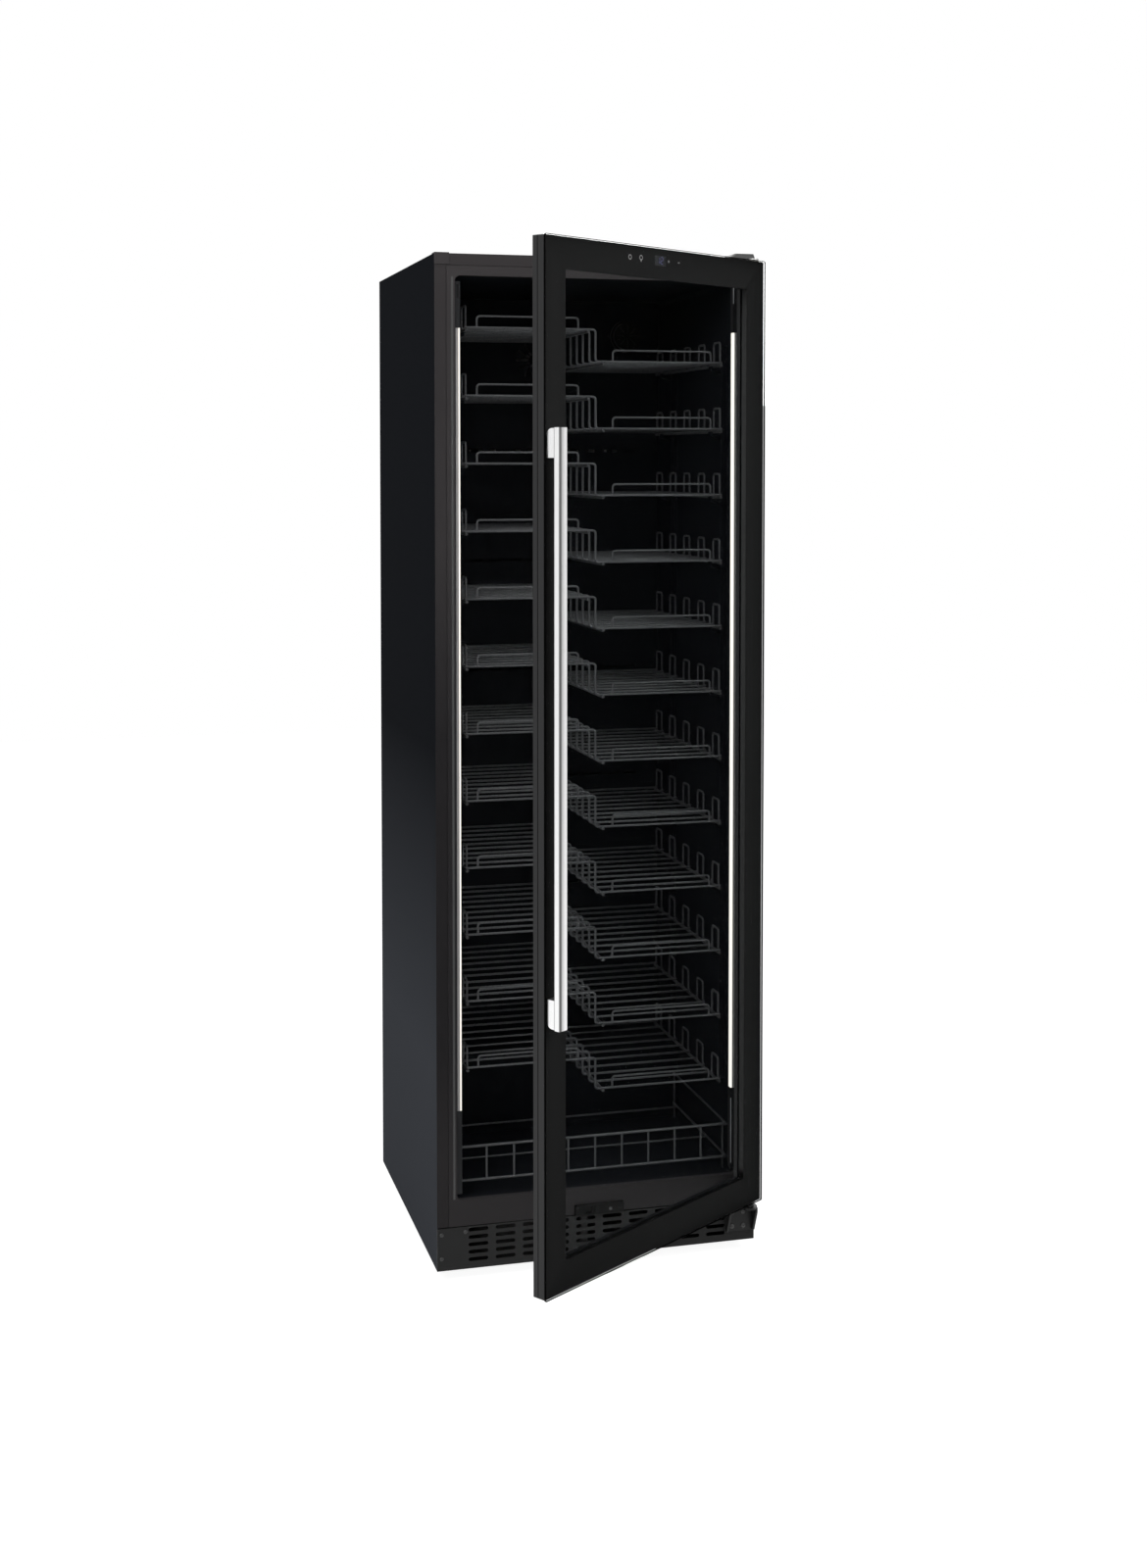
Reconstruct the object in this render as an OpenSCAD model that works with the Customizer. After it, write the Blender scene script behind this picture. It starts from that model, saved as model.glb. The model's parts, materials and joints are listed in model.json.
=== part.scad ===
// Tall free-standing wine cooler with a glass door, stepped display racks and a foot pedal opener.
// Millimetres, +Z up. The origin is on the floor under the middle of the cabinet body.
// The front faces -Y and the door hinges on the right (+X) side.

/* [Cabinet] */
// Width of the cabinet and of the door
cabinet_w = 595; // [570:1:630]
// Depth of the cabinet body without the door
cabinet_d = 580; // [560:1:620]
// Height of the cabinet's top above the floor
cabinet_top = 1820; // [1780:1:1880]
// Height of the cabinet's lower edge above the floor
floor_gap = 22; // [20:1:26]
// Thickness of the sheet steel
sheet_t = 1; // [0.8:0.1:1.5]
// Width of the front face on each side of the opening
jamb_w = 36; // [34:1:42]
// Height of the front face above the opening
header_h = 38; // [34:1:50]
// Height of the opening's lower edge above the floor
sill_z = 147; // [145:1:155]
// Height of the kick plate's upper edge above the floor
kick_z = 100; // [99:1:102]
// Width of the shell's folded front edge
flange_w = 20; // [17:1:22]
// Radius of the opening's corners
opening_r = 10; // [6:1:16]

/* [Interior] */
// Thickness of the inner liner
liner_t = 2; // [1.5:0.5:3]
// Thickness of the rear wall's insulation
rear_wall = 42; // [38:1:50]
// Height of the step over the machine compartment
step_z = 300; // [290:1:305]
// Depth of the step over the machine compartment
step_d = 195; // [190:1:205]
// Thickness of the insulation between the interior and the machine compartment
step_wall = 34; // [28:1:36]

/* [Racks] */
// Height of the top rack's upper deck below the cabinet's top
top_rack_drop = 126; // [120:1:135]
// Height of the lowest rack's upper deck over the step
low_rack_rise = 76; // [75:1:80]
// Gap between a rack's end and the edge of the opening
rack_end_gap = 22.5; // [21:0.5:26]
// Distance of a rack's front wire behind the cabinet's front face
rack_setback = 24; // [22:1:30]
// Height between a rack's two decks
rack_step = 57; // [50:1:58]
// Diameter of the deck wires
deck_wire = 4; // [3:0.5:4.5]
// Diameter of the cross wires
cross_wire = 5; // [4:0.5:5]
// Bottle rows on one rack
rack_rows = 5; // [4:1:5]
// Spacing of the bottle rows
row_pitch = 87; // [80:1:88]
// Spacing of the two wires under one bottle
cradle_w = 42; // [36:1:46]
// Height of the front stop rail over its deck
rail_h = 20; // [14:1:24]
// Height of the end stops over their deck
stop_h = 38; // [28:1:42]

/* [Door] */
// Angle of the open door in the rest pose
door_open = 34; // [20:1:60]
// Thickness of the door without the gasket
door_t = 28; // [26:1:32]
// Depth of the door gasket
gasket_t = 10; // [9.8:0.1:12]
// Height of the door's lower edge above the floor
door_z = 103; // [103:1:106]
// Gap between the door's upper edge and the level of the cabinet's top
door_top_gap = 2; // [2:0.1:4]
// Width of the black border around the window
border_w = 53; // [50:1:60]
// Thickness of each glass pane
pane_t = 4; // [3:0.5:5]
// Distance between the two panes
spacer_t = 12; // [10:1:12]
// Distance of the hinge axis from the door's edge
hinge_inset = 16; // [15:1:18]
// Distance of the hinge axis in front of the cabinet
hinge_reach = 22; // [22:1:24]
// Radius of the hinge pins
pin_r = 4; // [3:0.5:5]
// Running clearance of a pin in its bush
pin_play = 0.05; // [0.02:0.01:0.08]
// Height of the top hinge's cover
cover_h = 13; // [12:1:24]
// Thickness of the top hinge's plate
hinge_plate_t = 2.5; // [2:0.5:4]

/* [Handle] */
// Length of the handle
handle_l = 963; // [900:1:1000]
// Height of the handle's lower end above the floor
handle_z = 549; // [500:1:600]
// Width of the handle bar
handle_w = 20; // [16:1:24]
// Thickness of the handle bar
handle_t = 13; // [10:1:16]
// Finger gap between the bar and the glass
finger_gap = 15; // [12:1:25]
// Height of a handle post
post_h = 47; // [40:1:55]

/* [Kick plate] */
// Columns of slots
slot_columns = 10; // [6:1:10]
// Rows of slots
slot_rows = 5; // [4:1:5]
// Length of a slot
slot_l = 36; // [30:1:40]
// Height of a slot
slot_h = 7; // [5:0.5:8]
// Spacing of the slot columns
slot_pitch_x = 49.5; // [46:0.5:50]
// Spacing of the slot rows
slot_pitch_z = 13.4; // [12:0.1:13.5]

/* [Pedal] */
// Width of the foot pedal
pedal_w = 76; // [60:1:80]
// Reach of the pedal in front of the cabinet
pedal_reach = 28; // [20:1:32]
// Height of the pedal's pivot above the floor
pedal_pivot_z = 32; // [32:1:34]
// Distance of the pedal's pivot behind the cabinet's front face
pedal_pivot_d = 30; // [28:1:34]
// Height of the door pusher above the floor
pusher_z = 108; // [107:1:109]

/* [Feet and wheels] */
// Radius of the rear wheels
wheel_r = 20; // [18:1:20]
// Width of the rear wheels
wheel_w = 18; // [14:1:20]
// Distance of the wheel axles from the cabinet's back
wheel_inset = 74; // [70:1:80]
// Radius of a levelling foot's pad
foot_r = 19; // [15:1:20]
// Distance of the feet behind the cabinet's front face
foot_inset = 76; // [74:1:90]

/* [Fans] */
// Radius of the condenser fan
cond_fan_r = 52; // [40:1:54]
// Radius of the evaporator fan
evap_fan_r = 42; // [35:1:44]
// Blades on each fan
fan_blades = 7; // [5:1:9]

/* [Hidden] */
$fn = 48;
eps = 0.01;
seat = 0.3;         // gap where a piece rests on another or passes it
rack_count = 12;
half_w = cabinet_w / 2;
front_y = -cabinet_d / 2;
back_y = cabinet_d / 2;
panel_y = back_y - 2 * sheet_t;             // inner face of the rear panel
open_hw = half_w - jamb_w;                  // half width of the opening
open_top = cabinet_top - header_h;
frame_t = 10;                               // thickness of the front frame
frame_y = front_y + sheet_t;                // its front face
liner_front = frame_y + frame_t;
liner_back = back_y - rear_wall;            // inner face of the interior's back
step_front = liner_back - step_d;           // face of the step inside
duct_y = liner_back - 52;                   // front face of the air duct cover
floor_wall = 25;                            // insulation under the interior's floor

rack_hw = open_hw - rack_end_gap;            // half width of a rack
top_deck = cabinet_top - top_rack_drop;
low_deck = step_z + low_rack_rise;
rack_pitch = (top_deck - low_deck) / (rack_count - 1);
rack_y = front_y + rack_setback + deck_wire / 2;
rack_d = (rack_rows - 1) * row_pitch + cradle_w;
weld = 0.8;                                 // how far crossing wires are pressed into each other
weld_gap = 0.05;                            // gap where a wire is butted against another
cross_drop = (deck_wire + cross_wire) / 2;
bend_r = 6;                                 // bends in the deck wires and rails

door_top = cabinet_top - door_top_gap;
door_h = door_top - door_z;
door_back = front_y - gasket_t;
door_front = door_back - door_t;
pivot_x = half_w - hinge_inset;
pivot_y = front_y - hinge_reach;
print_t = 0.4;                              // the ceramic print behind the front pane
frame_front = door_front + pane_t + print_t;
inner_pane_y = frame_front + spacer_t;      // front face of the inner pane
glass_edge = 40;                            // edge of the inner pane, from the door's edge
bush_r = pin_r + 3;
bush_h = 18;
bracket_z = 88;                             // underside of the lower hinge's arm
bracket_t = 4;
hinge_eye_r = 9;                            // the top hinge's plate, round its pin
hinge_arm = 7;                              // reach of its arm to the right of the pin
cover_front = 8;                            // reach of its cover in front of the cabinet
kick_seam = 2;                              // gap between the kick plate and the front frame

base_t = 2;
pan_top = floor_gap + base_t;
machine_y = step_front + liner_t + step_wall;       // front wall of the machine compartment
machine_top = step_z - liner_t - step_wall;
axle_r = 3;
machine_mid_y = (machine_y + panel_y) / 2;

foot_x = half_w - 48;                       // places of the feet and wheels, from the middle
foot_y = front_y + foot_inset;
wheel_x = half_w - 26;
wheel_y = back_y - wheel_inset;
inlet_x = half_w - 97.5;                    // mains inlet in the rear panel
inlet_z = 70;

lug_t = 5;                                  // depth of the lugs that carry the racks
upright_w = 12;
light_w = 10;                               // section of a light bar's channel
light_d = 14;
led_low = sill_z + 160;
led_high = cabinet_top - 129;

fan_z = open_top - 120;                     // evaporator fan
fan_box = 25;
fan_shaft_r = 2.5;
evap_d = 40;                                // depth of the evaporator
comp_x = half_w - 157.5;                    // compressor
comp_r = 76;
comp_top = machine_top - 44;
cond_x = 147.5 - half_w;                    // condenser fan and coil
cond_z = pan_top + 70;
coil_x = cond_x - 54;
coil_l = 130;
coil_d = 88;

panel_x = [-102, 72];                       // ends of the control panel's pocket
pusher_x = [-26, -14];                      // sides of the door pusher
pusher_l = 26;                              // its reach behind the front face
housing_w = 90;                             // pusher housing
handle_x = 2 - half_w;
handle_y = door_front - finger_gap - handle_t;

// ---- shared shapes ----

// A flat outline with round corners, centred in x and starting at z = 0 of its own plane.
module rounded_square(w, h, r) {
    translate([-w / 2 + r, 0]) square([w - 2 * r, h]);
    translate([-w / 2, r]) square([w, h - 2 * r]);
    for (x = [-w / 2 + r, w / 2 - r], z = [r, h - r]) translate([x, z]) circle(r);
}

// An upright outline in x and z, pushed back from y to y + depth.
module upright(y, depth) {
    translate([0, y + depth, 0]) rotate([90, 0, 0]) linear_extrude(depth) children();
}

// A box given by its two corners.
module span(low, high) {
    translate(low) cube(high - low);
}

// A flat slot with round ends, centred.
module slot(l, h) {
    square([l - h, h], center = true);
    for (s = [-1, 1]) translate([s * (l - h) / 2, 0]) circle(h / 2);
}

module wire_x(x0, x1, y, z, d, $fn = 20) {
    translate([x0, y, z]) rotate([0, 90, 0]) cylinder(d = d, h = x1 - x0);
}

module wire_y(x, y0, y1, z, d, $fn = 20) {
    translate([x, y1, z]) rotate([90, 0, 0]) cylinder(d = d, h = y1 - y0);
}

module wire_z(x, y, z0, z1, d, $fn = 20) {
    translate([x, y, z0]) cylinder(d = d, h = z1 - z0);
}

// A quarter bend in the x-z plane round (x, z); from is the angle at which it starts.
module bend_xz(x, y, z, from, d, $fn = 20) {
    translate([x, y, z]) rotate([90, 0, 0]) rotate([0, 0, from])
        rotate_extrude(angle = 90) translate([bend_r, 0]) circle(d = d);
}

// Puts a piece that is drawn on the closed door where the open door holds it.
module on_door() {
    translate([pivot_x, pivot_y, 0]) rotate([0, 0, door_open]) translate([-pivot_x, -pivot_y, 0]) children();
}

// A closed-door frame shape: the door's outline less an opening, both by their inset.
module door_ring(y0, y1, outer, inner, r_out = 2, r_in = 3) {
    upright(y0, y1 - y0) translate([0, door_z + outer]) difference() {
        rounded_square(cabinet_w - 2 * outer, door_h - 2 * outer, r_out);
        translate([0, inner - outer]) rounded_square(cabinet_w - 2 * inner, door_h - 2 * inner, r_in);
    }
}

// A fan: hub, raked blades and the bore for its shaft, turning about +Z through the origin.
module fan_rotor(r, depth, shaft_r) {
    hub_r = r * 0.36;
    difference() {
        union() {
            cylinder(r = hub_r, h = depth);
            intersection() {
                translate([0, 0, 1]) cylinder(r = r, h = depth - 2);
                for (i = [0 : fan_blades - 1]) rotate([0, 0, i * 360 / fan_blades])
                    translate([0, 0, depth / 2]) rotate([38, 0, 0])
                        translate([hub_r - 3, -depth, -0.8]) cube([r, 2 * depth, 1.6]);
            }
        }
        translate([0, 0, -1]) cylinder(r = shaft_r, h = depth - 2);
    }
}

// ---- cabinet ----

module outer_shell() color([0.1, 0.11, 0.12]) {
    inside = [half_w - sheet_t, back_y - sheet_t];
    difference() {
        span([-half_w, front_y, floor_gap], [half_w, back_y, cabinet_top]);
        span([-inside[0], front_y + sheet_t, floor_gap - 1], [inside[0], inside[1], cabinet_top - sheet_t]);
        // front opening, inside the folded front edge
        span([flange_w - half_w, front_y - 1, floor_gap - 1],
            [half_w - flange_w, front_y + 2, cabinet_top - flange_w]);
        // back opening, inside a narrow folded edge
        span([12 - half_w, back_y - 2, floor_gap - 1], [half_w - 12, back_y + 1, cabinet_top - 12]);
        // room for the kick plate across the full width
        span([-half_w - 1, front_y - 1, floor_gap - 1], [half_w + 1, front_y + 1.5 * sheet_t, kick_z]);
    }
}

module rear_panel() color([0.12, 0.12, 0.13]) {
    difference() {
        span([-half_w + sheet_t, panel_y, pan_top],
            [half_w - sheet_t, back_y - sheet_t, cabinet_top - sheet_t]);
        // ventilation slots over the machine compartment
        for (i = [0 : 10], j = [0 : 7]) upright(panel_y - 1, 4)
            translate([-190 + i * 30, 70 + j * 18]) slot(22, 6);
        // opening for the power inlet
        upright(panel_y - 1, 4) translate([inlet_x, inlet_z]) square([28, 20], center = true);
    }
}

module base_pan() color([0.35, 0.36, 0.37]) {
    side = half_w - sheet_t;
    difference() {
        union() {
            span([-side, front_y + 1.5 * sheet_t, floor_gap], [side, panel_y, pan_top]);
            // side flanges and the two front uprights that the kick plate screws to
            for (s = [-1, 1]) {
                translate([s * (side - 0.75), 0, pan_top + 15])
                    cube([1.5, panel_y - front_y - 2 * sheet_t - 2, 30], center = true);
                translate([s * (side - 11), front_y + 1.5 * sheet_t + 0.75, (pan_top + kick_z - 2) / 2])
                    cube([22, 1.5, kick_z - 2 - pan_top], center = true);
            }
            // ears for the pedal's trunnions
            for (s = [-1, 1]) translate([s * (pedal_w / 2 + 4), front_y + pedal_pivot_d, 0]) {
                translate([0, 0, pedal_pivot_z]) rotate([0, 90, 0]) cylinder(r = 8, h = 3, center = true);
                translate([-1.5, -8, floor_gap]) cube([3, 16, pedal_pivot_z - floor_gap]);
            }
            // bosses for the levelling feet
            for (s = [-1, 1]) translate([s * foot_x, foot_y, pan_top - eps]) cylinder(r = 10, h = 14);
        }
        // cut-outs for the pedal, the wheels and the feet
        span([-pedal_w / 2 - 2, front_y - 1, floor_gap - 1],
            [pedal_w / 2 + 2, front_y + pedal_pivot_d + 14, pan_top + 1]);
        for (s = [-1, 1]) {
            translate([s * wheel_x, wheel_y, floor_gap])
                cube([wheel_w + 6, 2 * wheel_r + 8, 10], center = true);
            translate([s * foot_x, foot_y, floor_gap - 1]) cylinder(r = 5 + pin_play, h = 40);
            translate([s * (pedal_w / 2 + 4), front_y + pedal_pivot_d, pedal_pivot_z])
                rotate([0, 90, 0]) cylinder(r = axle_r + pin_play, h = 10, center = true);
        }
        // air openings under the machine compartment
        for (i = [0 : 5]) translate([-120 + i * 24, machine_y + 40, floor_gap - 1])
            linear_extrude(base_t + 2) rotate(90) slot(60, 8);
    }
}

// The interior's outline, grown by t, from y0 to y1, with the step taken out of its lower back.
module interior(t, y0, y1) {
    difference() {
        upright(y0, y1 - y0) translate([0, sill_z - t])
            rounded_square(2 * (open_hw + t), open_top - sill_z + 2 * t, opening_r + t);
        span([-half_w, step_front + t, 0], [half_w, back_y + 50, step_z - t]);
    }
}

module inner_liner() color([0.03, 0.03, 0.035]) {
    difference() {
        interior(liner_t, liner_front, liner_back + liner_t);
        interior(0, liner_front - 1, liner_back);
    }
}

module insulation() color([0.85, 0.82, 0.7]) {
    low = sill_z - liner_t - floor_wall;
    difference() {
        span([-half_w + sheet_t, liner_front, low], [half_w - sheet_t, panel_y, cabinet_top - sheet_t]);
        interior(liner_t, liner_front - 1, liner_back + liner_t);
        span([-half_w, machine_y, 0], [half_w, back_y + 1, machine_top]);
        // pocket for the air duct's fan wiring and the door pusher
        span([-housing_w / 2 - 3, front_y, 0], [housing_w / 2 + 3, front_y + 34, pusher_z + 14]);
    }
}

module front_frame() color([0.23, 0.22, 0.225]) {
    gap = 1.5;
    difference() {
        union() {
            // visible face, level with the shell's folded edge and a narrow groove away from it
            upright(front_y, frame_t + sheet_t) translate([flange_w + gap - half_w, kick_z])
                square([2 * (half_w - flange_w - gap), cabinet_top - flange_w - gap - kick_z]);
            // hidden lip behind the folded edge
            upright(frame_y, frame_t) translate([sheet_t - half_w, kick_z])
                square([2 * (half_w - sheet_t), cabinet_top - sheet_t - kick_z]);
        }
        upright(front_y - 1, frame_t + 4) translate([0, sill_z])
            rounded_square(2 * open_hw, open_top - sill_z, opening_r);
        // room for the door pusher's housing
        span([-housing_w / 2 - 1, front_y - 1, kick_z - 1], [housing_w / 2 + 1, front_y + 20, pusher_z + 10]);
    }
}

module corner_cap() color([0.25, 0.24, 0.25]) {
    w = flange_w + 6;
    drop = 19;
    difference() {
        span([-half_w, front_y - 1.5, cabinet_top - drop], [w - half_w, front_y + 24, cabinet_top + 1.5]);
        span([-half_w - 1, front_y, cabinet_top - drop - 1], [w + 1 - half_w, front_y + 25, cabinet_top]);
        // rounded upper edges
        translate([w - half_w, front_y + 24, 0]) upright(-60, 100) difference() {
            translate([0, cabinet_top - 2.5]) square(4);
            translate([-2, cabinet_top - 2.5]) circle(4);
        }
    }
}

module top_hinge_bracket() color([0.3, 0.3, 0.31]) {
    translate([0, 0, cabinet_top]) difference() {
        linear_extrude(hinge_plate_t) {
            translate([pivot_x, pivot_y]) circle(hinge_eye_r);
            translate([pivot_x - hinge_eye_r, pivot_y]) square([hinge_eye_r + hinge_arm, hinge_reach + 50]);
            translate([pivot_x - 34, front_y + 12]) square([34 + hinge_arm, 38]);
        }
        // screw holes
        for (p = [[-26, 22], [-26, 40], [0, 40]])
            translate([pivot_x + p[0], front_y + p[1], -1]) cylinder(r = 3, h = hinge_plate_t + 2);
    }
    translate([pivot_x, pivot_y, door_top - bush_h + 2]) cylinder(r = pin_r, h = bush_h - 1 + door_top_gap);
}

// The cover's outside for inset 0, its inside for inset 1: a low box that slopes in on all sides.
module cover_form(inset) {
    x = [pivot_x - 40 + inset, half_w - 6 - inset];
    y = [front_y - cover_front + inset, front_y + 64 - inset];
    base_r = 6 - inset;
    crown_r = 4 - inset;
    crown_t = 3;
    slope = [10 - 2 * inset, 0, 3, -8];
    hull() {
        for (p = [x[0] + 6, x[1] - 6], q = [y[0] + 6, y[1] - 6])
            translate([p, q, cabinet_top - inset]) cylinder(r = base_r, h = 5, $fn = 32);
        for (p = [x[0] + 6 + slope[0], x[1] - 6 + slope[1]], q = [y[0] + 6 + slope[2], y[1] - 6 + slope[3]])
            translate([p, q, cabinet_top + cover_h - crown_t - 1.5 * inset])
                cylinder(r = crown_r, h = crown_t, $fn = 32);
    }
}

module top_hinge_cover() color([0.2, 0.2, 0.21]) difference() {
    cover_form(0);
    cover_form(1);
    // notch over the hinge's arm
    span([pivot_x - hinge_eye_r - seat, front_y - cover_front - 1, cabinet_top - 1],
        [pivot_x + hinge_arm + seat, front_y, cabinet_top + hinge_plate_t + seat]);
}

module bottom_hinge_bracket() color([0.16, 0.16, 0.165]) {
    top = bracket_z + bracket_t;
    edge = half_w - 2;
    difference() {
        union() {
            // plate on the kick plate
            span([half_w - 58, front_y - 3, kick_z - 60], [edge, front_y, kick_z - 1]);
            // arm under the door
            translate([0, 0, bracket_z]) linear_extrude(bracket_t) {
                translate([pivot_x, pivot_y]) circle(12);
                translate([half_w - 56, pivot_y]) square([54, hinge_reach]);
            }
            // two gussets that taper back to the plate
            for (x = [half_w - 56, edge - 4]) translate([x, 0, 0]) rotate([90, 0, 90]) linear_extrude(4)
                polygon([[front_y - 2, kick_z - 58], [front_y - 2, bracket_z + 1],
                    [pivot_y - 4, bracket_z + 1], [pivot_y - 4, bracket_z - 8], [front_y - 9, kick_z - 58]]);
            // hinge pin with its shoulder
            translate([pivot_x, pivot_y, top - 1]) cylinder(r = pin_r, h = door_z + bush_h - top - 1);
            translate([pivot_x, pivot_y, top - 1]) cylinder(r = bush_r, h = door_z - top - 2 + 1 - seat);
        }
        for (x = [half_w - 44, half_w - 22], z = [kick_z - 50, kick_z - 24]) translate([x, front_y + 1, z])
            rotate([90, 0, 0]) cylinder(r = 2.6, h = 6);
    }
}

module kick_plate() color([0.2, 0.2, 0.205]) {
    top_row = kick_z - 8;
    difference() {
        span([-half_w, front_y, floor_gap], [half_w, front_y + 1.5 * sheet_t, kick_z - kick_seam]);
        for (i = [0 : slot_columns - 1], j = [0 : slot_rows - 1]) upright(front_y - 1, 2 + 1.5 * sheet_t)
            translate([(i - (slot_columns - 1) / 2) * slot_pitch_x, top_row - j * slot_pitch_z])
                slot(slot_l, slot_h);
    }
}

// A pan-head screw on a face that looks towards -Y.
module screw_front(x, y, z, r) {
    translate([x, y, z]) rotate([90, 0, 0]) difference() {
        union() {
            cylinder(r = r, h = 1);
            translate([0, 0, 1]) cylinder(r1 = r, r2 = r * 0.6, h = 0.9);
        }
        for (a = [0, 90]) rotate(a) translate([0, 0, 1.6]) cube([r, 0.7, 1.6], center = true);
    }
}

module body_screws() color([0.4, 0.4, 0.41]) {
    for (p = [[8, -13], [8, -56], [51, -11]]) screw_front(p[0] - half_w, front_y, kick_z + p[1], 3.6);
    for (x = [half_w - 44, half_w - 22], z = [kick_z - 50, kick_z - 24]) screw_front(x, front_y - 3, z, 4.2);
    screw_front(20, front_y - 6, pusher_z, 3.2);
}

module pusher_housing() color([0.05, 0.05, 0.055]) {
    difference() {
        upright(front_y - 6, 22) translate([0, pusher_z - 8]) rounded_square(housing_w, 18, 3);
        // guide for the pusher
        span([pusher_x[0] - seat, front_y - 7, pusher_z - 5 - seat],
            [pusher_x[1] + seat, front_y + 17, pusher_z + 5 + seat]);
        // shallow recess round the guide
        span([pusher_x[0] - 6, front_y - 7, pusher_z - 6.5], [pusher_x[1] + 6, front_y - 4, pusher_z + 7]);
    }
}

// ---- lights ----

module light_channels() color([0.08, 0.08, 0.085]) {
    for (s = [0, 1]) mirror([s, 0, 0]) difference() {
        span([open_hw - light_w, front_y + 3, sill_z + opening_r],
            [open_hw, front_y + 3 + light_d, open_top - opening_r]);
        span([open_hw - light_w - 1, front_y + 2, led_low], [open_hw - 2, front_y + light_d - 1, led_high]);
        // notched clip at the upper end
        span([open_hw - light_w + 2, front_y + 2, led_high + 52],
            [open_hw - 4, front_y + 6, open_top - opening_r - 4]);
    }
}

module led_strip() {
    translate([0, 0, led_low]) linear_extrude(led_high - led_low) {
        translate([open_hw - light_w + 3, front_y + 3]) square([light_w - 5, light_d - 4]);
        translate([open_hw - light_w, front_y + 6]) square([light_w - 2, light_d - 7]);
        translate([open_hw - light_w + 3, front_y + 6]) circle(3);
    }
}

module led_strip_left() color([1, 0.97, 0.88]) mirror([1, 0, 0]) led_strip();

module led_strip_right() color([1, 0.97, 0.88]) led_strip();

// ---- racks ----

// A lug's side view, with x = 0 on the liner and its seat at z = 0.
module lug_outline(hook) {
    lip = hook + 2.5;
    root = upright_w - 1;
    polygon([[-root, 0], [-hook, 0], [-hook, 3], [-lip, 3], [-lip, -lug_t], [-root - 4, -lug_t - 5],
        [-root, -lug_t - 5]]);
}

// Side ladder: two uprights with a hooked lug under each rack's end wire.
module rack_support(drop) {
    hook = open_hw - rack_hw + cross_wire;
    wire_under = cross_drop + weld_gap + cross_wire / 2 + seat;
    for (y = [rack_y + 46, rack_y + rack_d - 46]) {
        span([open_hw - upright_w, y - 10, low_deck - drop - 14], [open_hw, y + 10, top_deck - drop + 34]);
        for (i = [0 : rack_count - 1])
            translate([open_hw, y + 8, low_deck - drop + i * rack_pitch - wire_under])
                rotate([90, 0, 0]) linear_extrude(16) lug_outline(hook);
    }
}

module rack_support_left() color([0.05, 0.05, 0.055]) mirror([1, 0, 0]) rack_support(0);

module rack_support_right() color([0.05, 0.05, 0.055]) rack_support(rack_step);

// A hoop of wire in the x-z plane, standing on z = 0, w wide and h high over its feet.
module hoop(w, h, d) {
    for (s = [-1, 1]) wire_z(s * w / 2, 0, 0, h - bend_r, d);
    wire_x(bend_r - w / 2, w / 2 - bend_r, 0, h, d);
    bend_xz(w / 2 - bend_r, 0, h - bend_r, 0, d);
    bend_xz(bend_r - w / 2, 0, h - bend_r, 90, d);
}

// The bent middle of a deck wire, stepping down from the left deck to the right one.
module step_wire(y) {
    bend_xz(-bend_r, y, -bend_r, 0, deck_wire);
    wire_z(0, y, bend_r - rack_step, -bend_r, deck_wire);
    bend_xz(bend_r, y, bend_r - rack_step, 180, deck_wire);
}

// The right half of a rack round its deck's level: the deck, its front rail and the end stops on their wire.
module rack_half(rows) {
    thin = 0.9 * deck_wire;
    for (y = rows) wire_x(bend_r + weld_gap, rack_hw, y, 0, deck_wire);
    wire_y(14, -deck_wire, rack_d + deck_wire, weld - cross_drop, cross_wire);
    translate([rack_hw / 2 + 5, 0, deck_wire / 2 + weld_gap])
        hoop(rack_hw - 54, rail_h - deck_wire / 2, thin);
    translate([rack_hw - cross_wire / 2, 0, -cross_drop - weld_gap]) {
        wire_y(0, -deck_wire, rack_d + deck_wire, 0, cross_wire);
        for (row = [0 : rack_rows - 1]) translate([0, row * row_pitch + cradle_w / 2, 0])
            rotate([0, 0, 90]) hoop(cradle_w - 8, stop_h + cross_drop, thin);
    }
}

module rack(index) {
    rows = [for (row = [0 : rack_rows - 1], s = [0, cradle_w]) row * row_pitch + s];
    color([0.2, 0.2, 0.21]) translate([0, rack_y, top_deck - (index - 1) * rack_pitch]) {
        for (y = rows) step_wire(y);
        translate([0, 0, -rack_step]) rack_half(rows);
        mirror([1, 0, 0]) rack_half(rows);
    }
}

module lower_shelf() color([0.2, 0.2, 0.21]) {
    hw = open_hw - 9;
    low = sill_z + 25;
    high = sill_z + 86;
    back = step_front - 8;
    thin = 0.9 * deck_wire;
    for (z = [low, high]) {
        wire_x(-hw, hw, rack_y, z, cross_wire);
        for (s = [-1, 1]) wire_y(s * (hw - 4), rack_y - 3, back, z + deck_wire / 2 + 1.5, deck_wire);
    }
    for (i = [-4 : 4]) wire_z(i * hw / 5, rack_y, low - 2, high + 2, deck_wire);
    for (s = [-1, 1], y = [rack_y + 12, back - 6]) wire_z(s * (hw - 4), y, sill_z + seat, high + 4, thin);
    for (y = [rack_y + 110, back - 20]) wire_x(-hw + 2, hw - 2, y, low + 0.5, thin);
}

// ---- cold parts behind the racks ----
module duct_cover() color([0.06, 0.06, 0.065]) {
    w = 2 * open_hw - 1;
    low = step_z + 0.5;
    difference() {
        upright(duct_y, liner_back - duct_y - seat) translate([0, low])
            rounded_square(w, open_top - low - 0.5, opening_r);
        upright(duct_y + 2, 100) translate([0, low + 2])
            rounded_square(w - 4, open_top - low - 4.5, opening_r - 2);
        // fan grille: rings of round-ended slots
        upright(duct_y - 1, 4) translate([0, fan_z])
            for (a = [0 : 30 : 330]) rotate(a) translate([24, 0]) slot(28, 5);
        // rows of air outlets
        for (i = [-5 : 5], z = [380 : 220 : 1480]) upright(duct_y - 1, 4) translate([i * 40, z]) slot(28, 5);
    }
}

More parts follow.
